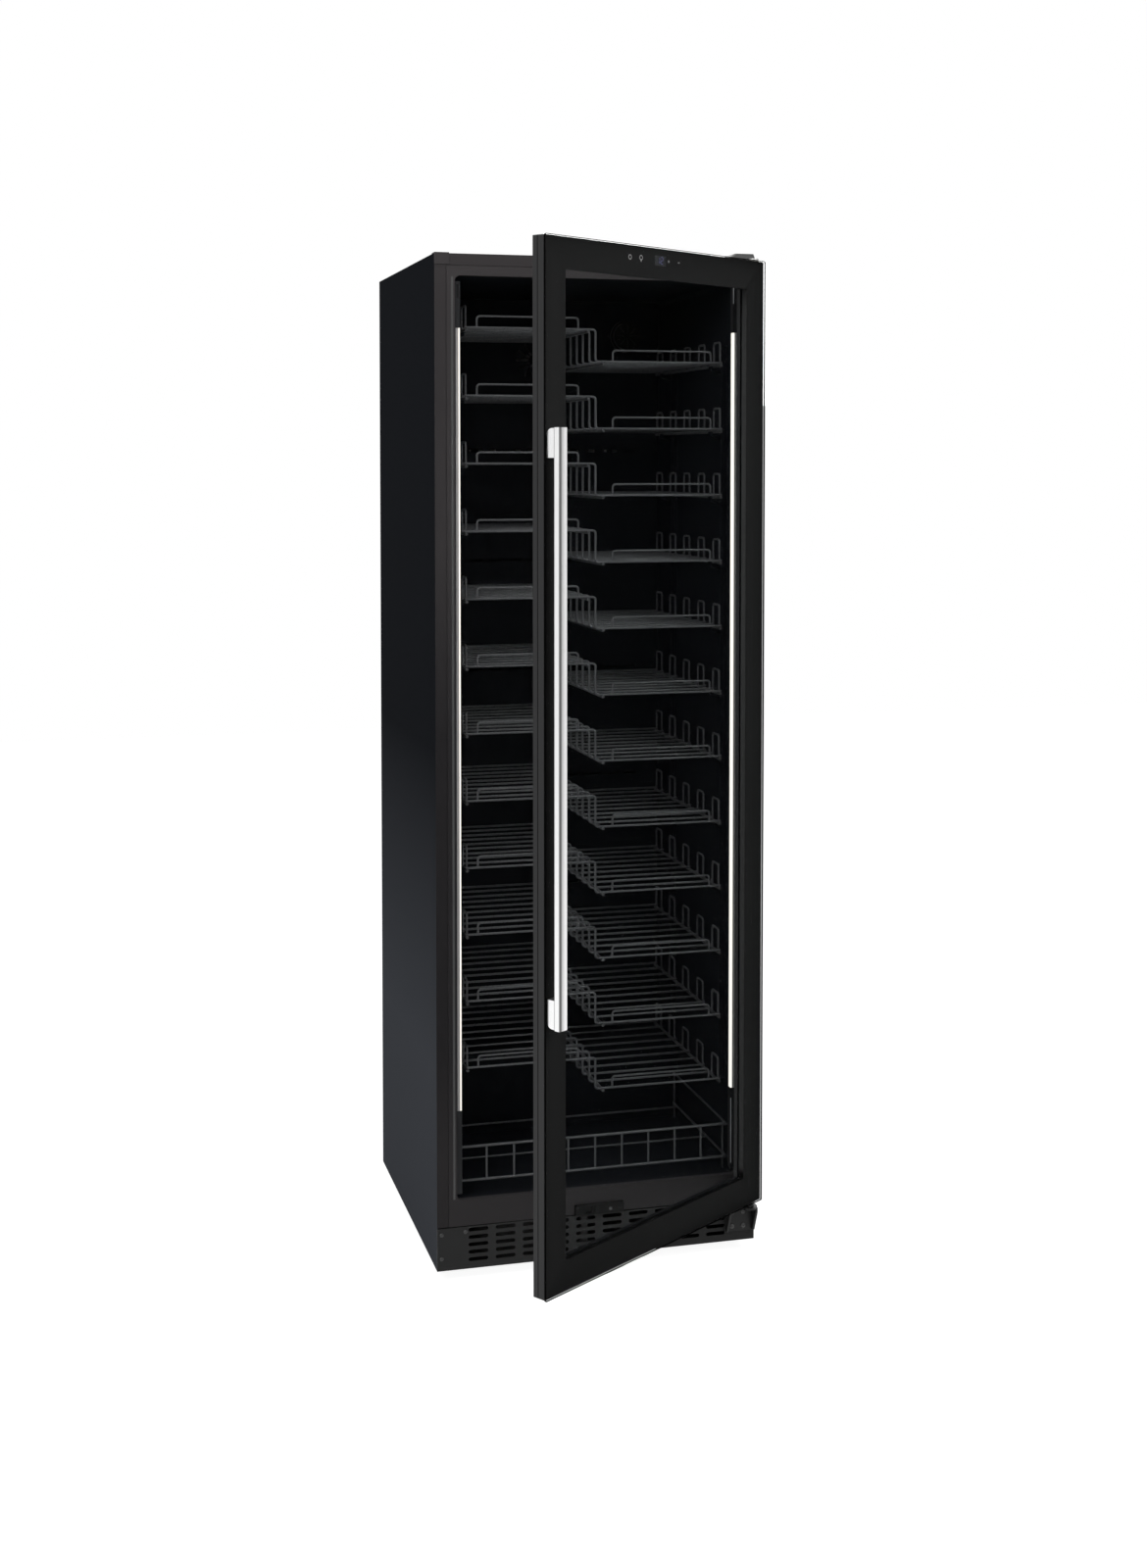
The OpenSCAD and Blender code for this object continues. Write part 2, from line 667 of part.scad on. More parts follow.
// Plate fins on a serpentine of tubes along x, centred in x, from (y, z) upwards.
module finned_coil(w, depth, h, fins, passes, d) {
    pitch = h / passes;
    fin_pitch = (w - 20) / (fins - 1);
    for (i = [0 : fins - 1]) translate([(i - (fins - 1) / 2) * fin_pitch - 0.5, 0, 0]) cube([1, depth, h]);
    for (k = [0 : passes - 1]) wire_x(-w / 2, w / 2, depth / 2, (k + 0.5) * pitch, d);
    for (k = [0 : passes - 2]) {
        side = k % 2 == 0 ? 1 : -1;
        translate([side * w / 2, depth / 2, (k + 1) * pitch]) rotate([90, 0, 0]) rotate([0, 0, -90 * side])
            rotate_extrude(angle = 180) translate([pitch / 2, 0]) circle(d = d);
    }
}

module evaporator_coil() color([0.7, 0.7, 0.72])
    translate([0, liner_back - seat - evap_d, fan_z - 400]) finned_coil(380, evap_d, 300, 15, 6, 8);

module evaporator_fan_housing() color([0.08, 0.08, 0.085]) {
    side = 2 * evap_fan_r + 8;
    translate([0, duct_y + 2 + seat, fan_z]) rotate([-90, 0, 0]) {
        difference() {
            translate([-side / 2, -side / 2, 0]) cube([side, side, fan_box]);
            translate([0, 0, -1]) cylinder(r = evap_fan_r + 1.5, h = fan_box - 2);
            translate([0, 0, 5]) difference() {
                cylinder(r = evap_fan_r + 1.5, h = fan_box);
                cylinder(r = evap_fan_r * 0.4, h = fan_box);
                for (a = [0, 90]) rotate(a) cube([4, 2 * side, 60], center = true);
            }
        }
        translate([0, 0, 8.5]) cylinder(r = fan_shaft_r, h = fan_box - 9);
    }
}

module evaporator_fan() color([0.15, 0.15, 0.16])
    translate([0, duct_y + 2 + seat + 3, fan_z]) rotate([-90, 0, 0]) mirror([0, 0, 1]) translate([0, 0, -18])
        fan_rotor(evap_fan_r, 16, fan_shaft_r + pin_play);

module charcoal_filter() color([0.1, 0.1, 0.105]) {
    translate([open_hw - 70, duct_y, open_top - 70]) rotate([90, 0, 0]) difference() {
        union() {
            cylinder(r = 32, h = 4);
            cylinder(r = 27, h = 11);
        }
        for (a = [0 : 45 : 315])
            rotate(a) translate([0, 0, 9]) linear_extrude(4) translate([15, 0]) slot(16, 3.5);
    }
}

// ---- machine compartment ----
module compressor() color([0.06, 0.06, 0.065]) {
    translate([comp_x, machine_mid_y, 0]) {
        rotate_extrude() difference() {
            union() {
                translate([0, pan_top + 30]) square([comp_r, comp_top - pan_top - 60]);
                translate([0, pan_top + 14]) square([comp_r - 16, comp_top - pan_top - 14]);
                translate([comp_r - 16, pan_top + 30]) circle(16);
                translate([comp_r - 16, comp_top - 16]) circle(16);
                translate([0, pan_top + 90]) square([comp_r + 4, 5]);
            }
            translate([-100, 0]) square([100, 400]);
        }
        // feet with their rubber mounts
        for (s = [-1, 1]) translate([s * 52, 0, pan_top + 12]) cube([24, 150, 4], center = true);
        for (x = [-52, 52], y = [-64, 64]) translate([x, y, pan_top]) cylinder(r = 9, h = 13);
        // terminal box
        translate([-comp_r - 8, -22, pan_top + 40]) cube([20, 44, 52]);
    }
}

module condenser_coil() color([0.25, 0.25, 0.26])
    translate([coil_x, machine_mid_y, pan_top + seat]) rotate([0, 0, 90]) translate([0, -coil_d / 2, 0])
        finned_coil(coil_l, coil_d, 168, 9, 4, 9);

module condenser_fan_shroud() color([0.1, 0.1, 0.105]) {
    side = 2 * cond_fan_r + 14;
    translate([cond_x, machine_mid_y, cond_z]) rotate([0, 90, 0]) {
        difference() {
            translate([-side / 2 - 6, -side / 2 - 12, 0])
                cube([side / 2 + 6 + cond_z - pan_top - seat, side + 24, 30]);
            translate([0, 0, -1]) cylinder(r = cond_fan_r + 2, h = 27);
            translate([0, 0, 5]) difference() {
                cylinder(r = cond_fan_r + 2, h = 40);
                cylinder(r = cond_fan_r * 0.4, h = 40);
                for (a = [0, 90]) rotate(a) cube([5, 300, 90], center = true);
            }
        }
        translate([0, 0, 7.5]) cylinder(r = axle_r, h = 19.5);
    }
}

module condenser_fan() color([0.2, 0.2, 0.21])
    translate([cond_x + 2, machine_mid_y, cond_z]) rotate([0, 90, 0]) mirror([0, 0, 1]) translate([0, 0, -22])
        fan_rotor(cond_fan_r, 20, axle_r + pin_play);

module drain_tray() color([0.15, 0.15, 0.16])
    translate([comp_x, machine_mid_y, comp_top + seat]) difference() {
        translate([-80, -65, 0]) cube([160, 130, 20]);
        translate([-77, -62, 3]) cube([154, 124, 20]);
    }

module control_box() color([0.16, 0.16, 0.17]) {
    y = machine_y + 10;
    difference() {
        span([-half_w + 40, y, machine_top - 42], [-half_w + 160, y + 150, machine_top - seat]);
        // vents in its side
        for (i = [0 : 5])
            span([-half_w + 30, y + 25 + i * 18, machine_top - 32],
                [-half_w + 44, y + 31 + i * 18, machine_top - 12]);
    }
}

module power_inlet() color([0.05, 0.05, 0.055])
    translate([inlet_x, back_y - sheet_t, inlet_z]) rotate([90, 0, 0]) {
        difference() {
            union() {
                translate([-14, -10, 0]) cube([28 - 0.4, 20 - 0.4, 20]);
                translate([-20, -15, -2]) cube([40, 30, 2]);
            }
            translate([-11, -7, -3]) cube([22, 14, 18]);
        }
        for (p = [[-6, 1], [0, -3], [6, 1]]) translate([p[0] - 1, p[1] - 1, 0]) cube([2, 2, 16]);
    }

module wheel_brackets() color([0.5, 0.5, 0.51]) {
    cheek = wheel_w / 2 + 1;
    for (s = [-1, 1]) translate([s * wheel_x, wheel_y, 0]) {
        for (c = [-1, 1]) {
            translate([c * (cheek + 0.9), 0, 29]) cube([1.8, 24, 34], center = true);
            translate([c * (cheek + 4), 0, pan_top + 0.9]) cube([8, 36, 1.8], center = true);
        }
        translate([0, 0, 2 * wheel_r + 5]) cube([2 * cheek + 3.6, 24, 2], center = true);
        translate([0, 0, wheel_r]) rotate([0, 90, 0]) cylinder(r = axle_r, h = 2 * cheek + 3, center = true);
    }
}

module rear_wheel(side) color([0.13, 0.13, 0.135])
    translate([side * wheel_x, wheel_y, wheel_r]) rotate([0, 90, 0]) difference() {
        cylinder(r = wheel_r, h = wheel_w, center = true);
        cylinder(r = axle_r + pin_play, h = 2 * wheel_w, center = true);
        for (s = [-1, 1]) translate([0, 0, s * wheel_w / 2]) difference() {
            cylinder(r = wheel_r - 4, h = 4, center = true);
            cylinder(r = axle_r + 3, h = 5, center = true);
        }
    }

module front_foot(side) color([0.15, 0.15, 0.155])
    translate([side * foot_x, foot_y, 0]) {
        cylinder(r = foot_r, h = 5);
        translate([0, 0, 5 - eps]) cylinder(r1 = foot_r - 2, r2 = 9, h = 5);
        translate([0, 0, 10 - 2 * eps]) cylinder(r = 9, h = 7, $fn = 6);
        cylinder(r = 5, h = pan_top + 12);
    }

// ---- door ----

module door_frame() color([0.16, 0.16, 0.165]) on_door() difference() {
    union() {
        door_ring(frame_front, inner_pane_y + pane_t, 1, glass_edge, 2, 2);
        door_ring(inner_pane_y + pane_t, door_back, 1, 50, 2, 4);
    }
    // bores for the hinge bushes
    for (z = [door_z, door_top - bush_h - 1]) translate([pivot_x, pivot_y, z])
        cylinder(r = bush_r, h = bush_h + 1);
    // pocket for the control panel
    span([panel_x[0], frame_front - 1, door_top - 37], [panel_x[1], frame_front + 9, door_top - 7]);
    // groove along the free edge, which lightens its side
    span([-half_w, door_back - 11, door_z - 1], [-half_w + 2.5, door_back - 9.5, door_top + 1]);
}

module outer_glass() color([0.55, 0.6, 0.6, 0.35]) on_door()
    upright(door_front, pane_t) translate([0, door_z]) rounded_square(cabinet_w, door_h, 2);

module glass_border() color([0.02, 0.02, 0.022]) on_door() difference() {
    door_ring(door_front + pane_t, frame_front, 1.5, border_w, 2, 3);
    // clear window over the digits
    span([-17, door_front, door_top - 30], [14, frame_front + 1, door_top - 13]);
}

module inner_glass() color([0.55, 0.6, 0.6, 0.35]) on_door()
    upright(inner_pane_y, pane_t) translate([0, door_z + glass_edge + 0.5])
        rounded_square(cabinet_w - 2 * glass_edge - 1, door_h - 2 * glass_edge - 1, 1.5);

module glass_spacer() color([0.6, 0.6, 0.61]) on_door()
    door_ring(frame_front, inner_pane_y, glass_edge + 0.5, 50, 1.5, 2);

module door_gasket() color([0.04, 0.04, 0.042]) on_door() {
    door_ring(door_back, door_back + 2.5, 18, 32, 3, 3);
    difference() {
        door_ring(door_back + 2.5 - eps, door_back + gasket_t - seat, 19.5, 30.5, 4, 3);
        // fold of the bellows on both sides
        door_ring(door_back + 4, door_back + 5.5, 10, 21, 3, 3);
        door_ring(door_back + 4, door_back + 5.5, 29, 40, 3, 3);
    }
}

module handle_bar() color([0.8, 0.8, 0.81]) on_door()
    translate([handle_x + handle_w / 2, handle_y, handle_z])
        linear_extrude(handle_l) rounded_square(handle_w, handle_t, 3);

module handle_posts() color([0.8, 0.8, 0.81]) on_door()
    for (top = [0, 1]) translate([handle_x + 1.5, 0, handle_z + (top ? handle_l : 0)]) mirror([0, 0, top])
        rotate([90, 0, 90]) linear_extrude(handle_w - 3) difference() {
            translate([door_front - finger_gap, 1]) square([finger_gap, post_h]);
            // rounded away under the post, where it meets the door
            difference() {
                translate([door_front - 11, 0]) square([12, 13]);
                translate([door_front - 11, 13]) circle(12);
            }
        }

module display_module() color([0.03, 0.03, 0.04]) on_door()
    span([panel_x[0] + 2, frame_front + 0.2, door_top - 35], [panel_x[1] - 2, frame_front + 6, door_top - 9]);

module hinge_bushes() color([0.75, 0.75, 0.72]) on_door()
    for (top = [0, 1])
        translate([pivot_x, pivot_y, top ? door_top : door_z]) mirror([0, 0, top]) difference() {
            union() {
                translate([0, 0, -1.7]) cylinder(r = bush_r + 2, h = 2.7);
                cylinder(r = bush_r, h = bush_h);
            }
            translate([0, 0, -3]) cylinder(r = pin_r + pin_play, h = bush_h + 2);
        }

// ---- pedal ----

module foot_pedal() color([0.2, 0.2, 0.205]) {
    crown = 7;                                      // how far the front edge bows forward
    bow_r = (pedal_w * pedal_w / 4 + crown * crown) / (2 * crown);
    boss_w = pedal_w - 3;
    d = pedal_pivot_d;
    nose_r = 5;
    nose_y = pusher_l + seat + nose_r;
    // tongue under the kick plate
    translate([0, front_y, 11]) linear_extrude(8.5) intersection() {
        translate([-pedal_w / 2, -pedal_reach]) square([pedal_w, pedal_reach + 12]);
        translate([0, bow_r - pedal_reach]) circle(bow_r);
    }
    // riser to the pivot
    translate([-boss_w / 2, front_y, 0]) rotate([90, 0, 90]) linear_extrude(boss_w)
        polygon([[4, 11], [14, 11], [d + 4, pedal_pivot_z - 6.2], [d - 4, pedal_pivot_z + 5.5],
            [8, 19.5], [4, 19.5]]);
    translate([-boss_w / 2, front_y + d, pedal_pivot_z]) rotate([0, 90, 0]) cylinder(r = 7, h = boss_w);
    // trunnions
    translate([-pedal_w / 2 - 6, front_y + d, pedal_pivot_z])
        rotate([0, 90, 0]) cylinder(r = axle_r, h = pedal_w + 12);
    // arm up to the pusher, with a round nose that rolls on its end
    translate([pusher_x[0], front_y, 0]) rotate([90, 0, 90]) linear_extrude(pusher_x[1] - pusher_x[0]) {
        polygon([[d - 3, pedal_pivot_z + 4], [d + 5, pedal_pivot_z + 4], [nose_y + nose_r, pusher_z],
            [nose_y - nose_r, pusher_z]]);
        translate([nose_y, pusher_z]) circle(nose_r);
    }
}

module door_pusher() color([0.1, 0.1, 0.105])
    span([pusher_x[0], front_y - 0.4, pusher_z - 5], [pusher_x[1], front_y + pusher_l, pusher_z + 5]);

outer_shell();
rear_panel();
base_pan();
inner_liner();
insulation();
front_frame();
corner_cap();
top_hinge_bracket();
top_hinge_cover();
bottom_hinge_bracket();
kick_plate();
body_screws();
pusher_housing();
light_channels();
led_strip_left();
led_strip_right();
rack_support_left();
rack_support_right();
rack(1);  // rack_01
rack(2);  // rack_02
rack(3);  // rack_03
rack(4);  // rack_04
rack(5);  // rack_05
rack(6);  // rack_06
rack(7);  // rack_07
rack(8);  // rack_08
rack(9);  // rack_09
rack(10);  // rack_10
rack(11);  // rack_11
rack(12);  // rack_12
lower_shelf();
duct_cover();
evaporator_coil();
evaporator_fan_housing();
charcoal_filter();
compressor();
condenser_coil();
condenser_fan_shroud();
drain_tray();
control_box();
power_inlet();
wheel_brackets();
door_frame();
outer_glass();
glass_border();
inner_glass();
glass_spacer();
door_gasket();
handle_bar();
handle_posts();
display_module();
hinge_bushes();
foot_pedal();
door_pusher();
evaporator_fan();
condenser_fan();
rear_wheel(-1);  // rear_wheel_left
rear_wheel(1);  // rear_wheel_right
front_foot(-1);  // front_foot_left
front_foot(1);  // front_foot_right
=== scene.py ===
import json
import math

import bmesh
import bpy
from mathutils import Matrix, Vector


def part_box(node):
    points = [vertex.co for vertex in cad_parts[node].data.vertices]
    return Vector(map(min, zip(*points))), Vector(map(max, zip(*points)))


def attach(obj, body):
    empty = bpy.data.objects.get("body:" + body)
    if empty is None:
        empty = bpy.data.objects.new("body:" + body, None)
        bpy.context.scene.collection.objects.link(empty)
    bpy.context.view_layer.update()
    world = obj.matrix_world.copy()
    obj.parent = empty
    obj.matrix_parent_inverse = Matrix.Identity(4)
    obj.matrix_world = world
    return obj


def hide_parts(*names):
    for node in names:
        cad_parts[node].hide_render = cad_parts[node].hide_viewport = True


mm = 0.001

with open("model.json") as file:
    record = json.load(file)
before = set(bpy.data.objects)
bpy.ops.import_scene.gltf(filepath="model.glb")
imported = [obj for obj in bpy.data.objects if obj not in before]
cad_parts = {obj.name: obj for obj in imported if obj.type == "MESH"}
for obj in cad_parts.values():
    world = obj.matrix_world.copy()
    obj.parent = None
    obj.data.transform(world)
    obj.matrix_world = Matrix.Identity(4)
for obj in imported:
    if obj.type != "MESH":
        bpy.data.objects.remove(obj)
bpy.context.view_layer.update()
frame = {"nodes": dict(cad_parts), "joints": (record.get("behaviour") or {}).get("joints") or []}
nodes = frame["nodes"]
print("frame loaded:", len(nodes), "nodes")

# where the viewer stands, in metres and degrees; yaw turns from +Y towards +X
cameraView = {"place": (-0.9614, -3.7076, 1.4576), "yaw": 14.97, "pitch": -2.5, "lens": 45.72,
              "shiftY": -0.15}


def placeCamera(view):
    data = bpy.data.cameras.new("camera")
    data.lens = view["lens"]
    data.shift_y = view["shiftY"]
    camera = bpy.data.objects.new("camera", data)
    camera.location = view["place"]
    camera.rotation_euler = (math.radians(90 + view["pitch"]), 0, -math.radians(view["yaw"]))
    bpy.context.scene.collection.objects.link(camera)
    bpy.context.scene.camera = camera


placeCamera(cameraView)
print("camera placed")

# pieces of the door are drawn on the closed door and turned with it
doorJoint = next(joint for joint in frame["joints"] if joint["name"] == "door_hinge")
doorAxis = Vector(doorJoint["pos_m"])
openAngle = -math.radians(doorJoint["range_deg"][0])
doorTurn = (Matrix.Translation(doorAxis) @ Matrix.Rotation(openAngle, 4, "Z")
            @ Matrix.Translation(-doorAxis))


def closedBox(node):
    # a door node's box with the door closed
    back = doorTurn.inverted()
    corners = [back @ vertex.co for vertex in nodes[node].data.vertices]
    low = Vector([min(c[i] for c in corners) for i in range(3)])
    high = Vector([max(c[i] for c in corners) for i in range(3)])
    return low, high


# a Mix node's colour sockets, which go by number because its other kinds share their names
mixFactor, mixFirst, mixSecond, mixResult = 0, 6, 7, 2
noiseSpan = (0.3, 0.7)  # noise keeps mostly between these


def newFinish(name, colour, roughness, metallic=0.0, shine=0.5, **sockets):
    material = bpy.data.materials.new(name)
    material.use_nodes = True
    shader = material.node_tree.nodes["Principled BSDF"]
    shader.inputs["Base Color"].default_value = (*colour, 1)
    shader.inputs["Roughness"].default_value = roughness
    shader.inputs["Metallic"].default_value = metallic
    shader.inputs["Specular IOR Level"].default_value = shine
    for socket, value in sockets.items():
        shader.inputs[socket].default_value = value
    return material


def noiseOn(material, size, stretch=(1, 1, 1), detail=3.0):
    # noise over the piece's own place; size is cells per metre
    tree = material.node_tree
    place = tree.nodes.new("ShaderNodeTexCoord")
    mapping = tree.nodes.new("ShaderNodeMapping")
    mapping.inputs["Scale"].default_value = stretch
    noise = tree.nodes.new("ShaderNodeTexNoise")
    noise.inputs["Scale"].default_value = size
    noise.inputs["Detail"].default_value = detail
    tree.links.new(place.outputs["Object"], mapping.inputs["Vector"])
    tree.links.new(mapping.outputs["Vector"], noise.inputs["Vector"])
    return noise.outputs["Fac"]


def tintBy(material, factor, dark, light):
    tree = material.node_tree
    mix = tree.nodes.new("ShaderNodeMix")
    mix.data_type = "RGBA"
    mix.inputs[mixFirst].default_value = (*dark, 1)
    mix.inputs[mixSecond].default_value = (*light, 1)
    tree.links.new(factor, mix.inputs[mixFactor])
    tree.links.new(mix.outputs[mixResult], tree.nodes["Principled BSDF"].inputs["Base Color"])


def mixInto(material, factor, colour):
    # lays a colour over the base colour where the factor is 1
    tree = material.node_tree
    base = tree.nodes["Principled BSDF"].inputs["Base Color"]
    mix = tree.nodes.new("ShaderNodeMix")
    mix.data_type = "RGBA"
    mix.inputs[mixSecond].default_value = (*colour, 1)
    paint = base.links[0].from_socket
    tree.links.new(factor, mix.inputs[mixFactor])
    tree.links.new(paint, mix.inputs[mixFirst])
    tree.links.new(mix.outputs[mixResult], base)


def roughenBy(material, factor, smooth, rough):
    tree = material.node_tree
    scale = tree.nodes.new("ShaderNodeMapRange")
    scale.inputs["From Min"].default_value = noiseSpan[0]
    scale.inputs["From Max"].default_value = noiseSpan[1]
    scale.inputs["To Min"].default_value = smooth
    scale.inputs["To Max"].default_value = rough
    tree.links.new(factor, scale.inputs["Value"])
    tree.links.new(scale.outputs["Result"], tree.nodes["Principled BSDF"].inputs["Roughness"])


def bumpBy(material, factor, depth, strength):
    tree = material.node_tree
    bump = tree.nodes.new("ShaderNodeBump")
    bump.inputs["Distance"].default_value = depth
    bump.inputs["Strength"].default_value = strength
    tree.links.new(factor, bump.inputs["Height"])
    tree.links.new(bump.outputs["Normal"], tree.nodes["Principled BSDF"].inputs["Normal"])


def rampAlong(material, axis, start, end):
    # 0 at the start and 1 at the end, along an axis of the piece's own place
    tree = material.node_tree
    place = tree.nodes.new("ShaderNodeTexCoord")
    split = tree.nodes.new("ShaderNodeSeparateXYZ")
    ramp = tree.nodes.new("ShaderNodeMapRange")
    ramp.inputs["From Min"].default_value = start
    ramp.inputs["From Max"].default_value = end
    tree.links.new(place.outputs["Object"], split.inputs["Vector"])
    tree.links.new(split.outputs[axis], ramp.inputs["Value"])
    return ramp.outputs["Result"]


def combine(tree, operation, first, second):
    # one value from two
    node = tree.nodes.new("ShaderNodeMath")
    node.operation = operation
    tree.links.new(first, node.inputs[0])
    tree.links.new(second, node.inputs[1])
    return node.outputs["Value"]


def grey(value, blue=0.0):
    # a grey, or a cold one with some blue and a third of that in green
    return (value, value + 0.3 * blue, value + blue)


def scaled(colour, share):
    # the same colour, darker or lighter
    return [min(1, c * share) for c in colour]


# paint on sheet steel: faint clouds and a fine orange peel, in cells per metre
coatGrain = {"clouds": 3, "cloudDetail": 1, "peel": 700, "peelDetail": 2, "roughness": 0.04,
             "depth": 0.04 * mm, "strength": 0.3}


def powderCoat(name, colour, spread, roughness, shine=0.5):
    g = coatGrain
    material = newFinish(name, colour, roughness, shine=shine)
    tintBy(material, noiseOn(material, g["clouds"], detail=g["cloudDetail"]),
           scaled(colour, 1 - spread), scaled(colour, 1 + spread))
    peel = noiseOn(material, g["peel"], detail=g["peelDetail"])
    roughenBy(material, peel, roughness - g["roughness"], roughness + g["roughness"])
    bumpBy(material, peel, g["depth"], g["strength"])
    return material


frameGrey = (0.06, 0.055, 0.0565)
# painted shade and light: the frame's grey deepens down the sides as the light from above falls
# off, and paler painted light returns above the kick plate: from, to, colour
framePaintedShades = ((1.3, 0.98, (0.033, 0.0308, 0.0325)), (0.42, 0.22, (0.049, 0.0455, 0.047)))


def frameCoat(name, spread, roughness, shine):
    material = powderCoat(name, frameGrey, spread, roughness, shine)
    # painted shade down the sides and painted light above the kick plate
    for start, end, colour in framePaintedShades:
        mixInto(material, rampAlong(material, "Z", start, end), colour)
    return material


# painted reflection: the sides are paler towards the floor, as if the bright floor shone in them;
# the shell's folded edge is painted as the frame is, with the frame's painted shade
cabinetPaintedReflectionAndFold = {"paintedReflectionFrom": 0.95, "paintedReflectionTo": 0.38, "foldDepth": 1.2 * mm, "foldBlend": 0.1 * mm}


def cabinetCoat(name, side, low, spread, roughness, shine):
    s = cabinetPaintedReflectionAndFold
    material = powderCoat(name, side, spread, roughness, shine)
    # painted reflection of the floor: paler towards the bottom
    mixInto(material, rampAlong(material, "Z", s["paintedReflectionFrom"], s["paintedReflectionTo"]), low)
    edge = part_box("outer_shell")[0].y + s["foldDepth"]
    frontEdge = rampAlong(material, "Y", edge + s["foldBlend"], edge)
    mixInto(material, frontEdge, frameGrey)
    # the frame's painted shade and light on the folded edge as well
    for start, end, colour in framePaintedShades:
        height = rampAlong(material, "Z", start, end)
        mixInto(material, combine(material.node_tree, "MULTIPLY", frontEdge, height), colour)
    return material


# grey at the window's sides, black along its lower edge
spacerShade = {"sillFrom": 30 * mm, "sillTo": 20 * mm}


def spacerCoat(name, upright, sill, spread, roughness, shine):
    s = spacerShade
    material = powderCoat(name, upright, spread, roughness, shine)
    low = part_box("glass_spacer")[0].z
    mixInto(material, rampAlong(material, "Z", low + s["sillFrom"], low + s["sillTo"]), sill)
    return material


# plastic, rubber and dipped wire: clouds of a darker and lighter tint under a grain of their own
plasticGrain = {"clouds": 12, "tint": 0.15, "detail": 2, "smoother": 0.06, "rougher": 0.08,
                "strength": 0.5}


def mouldedPlastic(name, colour, roughness, grainSize=1400, grainDepth=0.04 * mm, shine=0.5):
    g = plasticGrain
    material = newFinish(name, colour, roughness, shine=shine)
    tintBy(material, noiseOn(material, g["clouds"]),
           scaled(colour, 1 - g["tint"]), scaled(colour, 1 + g["tint"]))
    grain = noiseOn(material, grainSize, detail=g["detail"])
    roughenBy(material, grain, roughness - g["smoother"], roughness + g["rougher"])
    bumpBy(material, grain, grainDepth, g["strength"])
    return material


# fine scratches that run along one axis
brushing = {"lines": 1500, "stretch": 0.02, "detail": 4, "darker": 0.88, "lighter": 1.08,
            "smoother": 0.08, "rougher": 0.1, "depth": 0.02 * mm, "strength": 0.4}


def brushedMetal(name, colour, roughness, along):
    b = brushing
    material = newFinish(name, colour, roughness, 1.0)
    stretch = [b["stretch"] if axis == along else 1 for axis in "XYZ"]
    scratches = noiseOn(material, b["lines"], stretch, b["detail"])
    tintBy(material, scratches, scaled(colour, b["darker"]), scaled(colour, b["lighter"]))
    roughenBy(material, scratches, roughness - b["smoother"], roughness + b["rougher"])
    bumpBy(material, scratches, b["depth"], b["strength"])
    return material


# painted reflection: the bar's front face darkens along its left edge, as if it mirrored something
# dark; each stop is a share of its width and a tint
barPaintedReflection = {"stops": ((0.0, 0), (0.03, 0.9), (0.15, 1), (0.3, 0.5), (0.6, 0.15), (1.0, 0))}


def barSteel(name, bright, dark, roughness):
    material = brushedMetal(name, bright, roughness, "Z")
    tree = material.node_tree
    low, high = closedBox("handle_bar")
    across = doorTurn.to_3x3() @ Vector((1, 0, 0))
    left = (doorTurn @ low).dot(across)
    place = tree.nodes.new("ShaderNodeTexCoord")
    along = tree.nodes.new("ShaderNodeVectorMath")
    along.operation = "DOT_PRODUCT"
    along.inputs[1].default_value = across
    span = tree.nodes.new("ShaderNodeMapRange")
    span.inputs["From Min"].default_value = left
    span.inputs["From Max"].default_value = left + high.x - low.x
    ramp = tree.nodes.new("ShaderNodeValToRGB")
    elements = ramp.color_ramp.elements
    for i, (position, value) in enumerate(barPaintedReflection["stops"]):
        stop = elements[i] if i < 2 else elements.new(position)  # a new ramp has two stops
        stop.position = position
        stop.color = (value, value, value, 1)
    tree.links.new(place.outputs["Object"], along.inputs[0])
    tree.links.new(along.outputs["Value"], span.inputs["Value"])
    tree.links.new(span.outputs["Result"], ramp.inputs["Fac"])
    # painted reflection: the dark band across the front face
    mixInto(material, ramp.outputs["Color"], dark)
    return material


# zinc spangle: flat crystals of slightly different grey
spangle = {"crystals": 150, "dark": 0.37, "light": 0.47, "smooth": 0.35, "rough": 0.47}


def galvanisedSteel(name, colour, roughness):
    s = spangle
    material = newFinish(name, colour, roughness, 1.0)
    tree = material.node_tree
    place = tree.nodes.new("ShaderNodeTexCoord")
    crystals = tree.nodes.new("ShaderNodeTexVoronoi")
    crystals.inputs["Scale"].default_value = s["crystals"]
    tree.links.new(place.outputs["Object"], crystals.inputs["Vector"])
    split = tree.nodes.new("ShaderNodeSeparateColor")
    tree.links.new(crystals.outputs["Color"], split.inputs["Color"])
    tintBy(material, split.outputs["Red"], grey(s["dark"]), grey(s["light"]))
    roughenBy(material, split.outputs["Green"], s["smooth"], s["rough"])
    return material


def letLampsThrough(material, tint):
    # lamp light and scattered light pass the pane; the camera still sees glass
    tree = material.node_tree
    clear = tree.nodes.new("ShaderNodeBsdfTransparent")
    clear.inputs["Color"].default_value = (*tint, 1)
    path = tree.nodes.new("ShaderNodeLightPath")
    unseen = combine(tree, "MAXIMUM", path.outputs["Is Shadow Ray"], path.outputs["Is Diffuse Ray"])
    mix = tree.nodes.new("ShaderNodeMixShader")
    tree.links.new(unseen, mix.inputs[0])
    tree.links.new(tree.nodes["Principled BSDF"].outputs["BSDF"], mix.inputs[1])
    tree.links.new(clear.outputs["BSDF"], mix.inputs[2])
    tree.links.new(mix.outputs["Shader"], tree.nodes["Material Output"].inputs["Surface"])


def windowGlass(name, colour, tint, index):
    # coated against reflections, so its index is low
    material = newFinish(name, colour, 0.0, **{"Transmission Weight": 1.0, "IOR": index})
    letLampsThrough(material, tint)
    return material


def glowing(name, colour, strength, roughness=0.4):
    return newFinish(name, colour, roughness,
                     **{"Emission Color": (*colour, 1), "Emission Strength": strength})


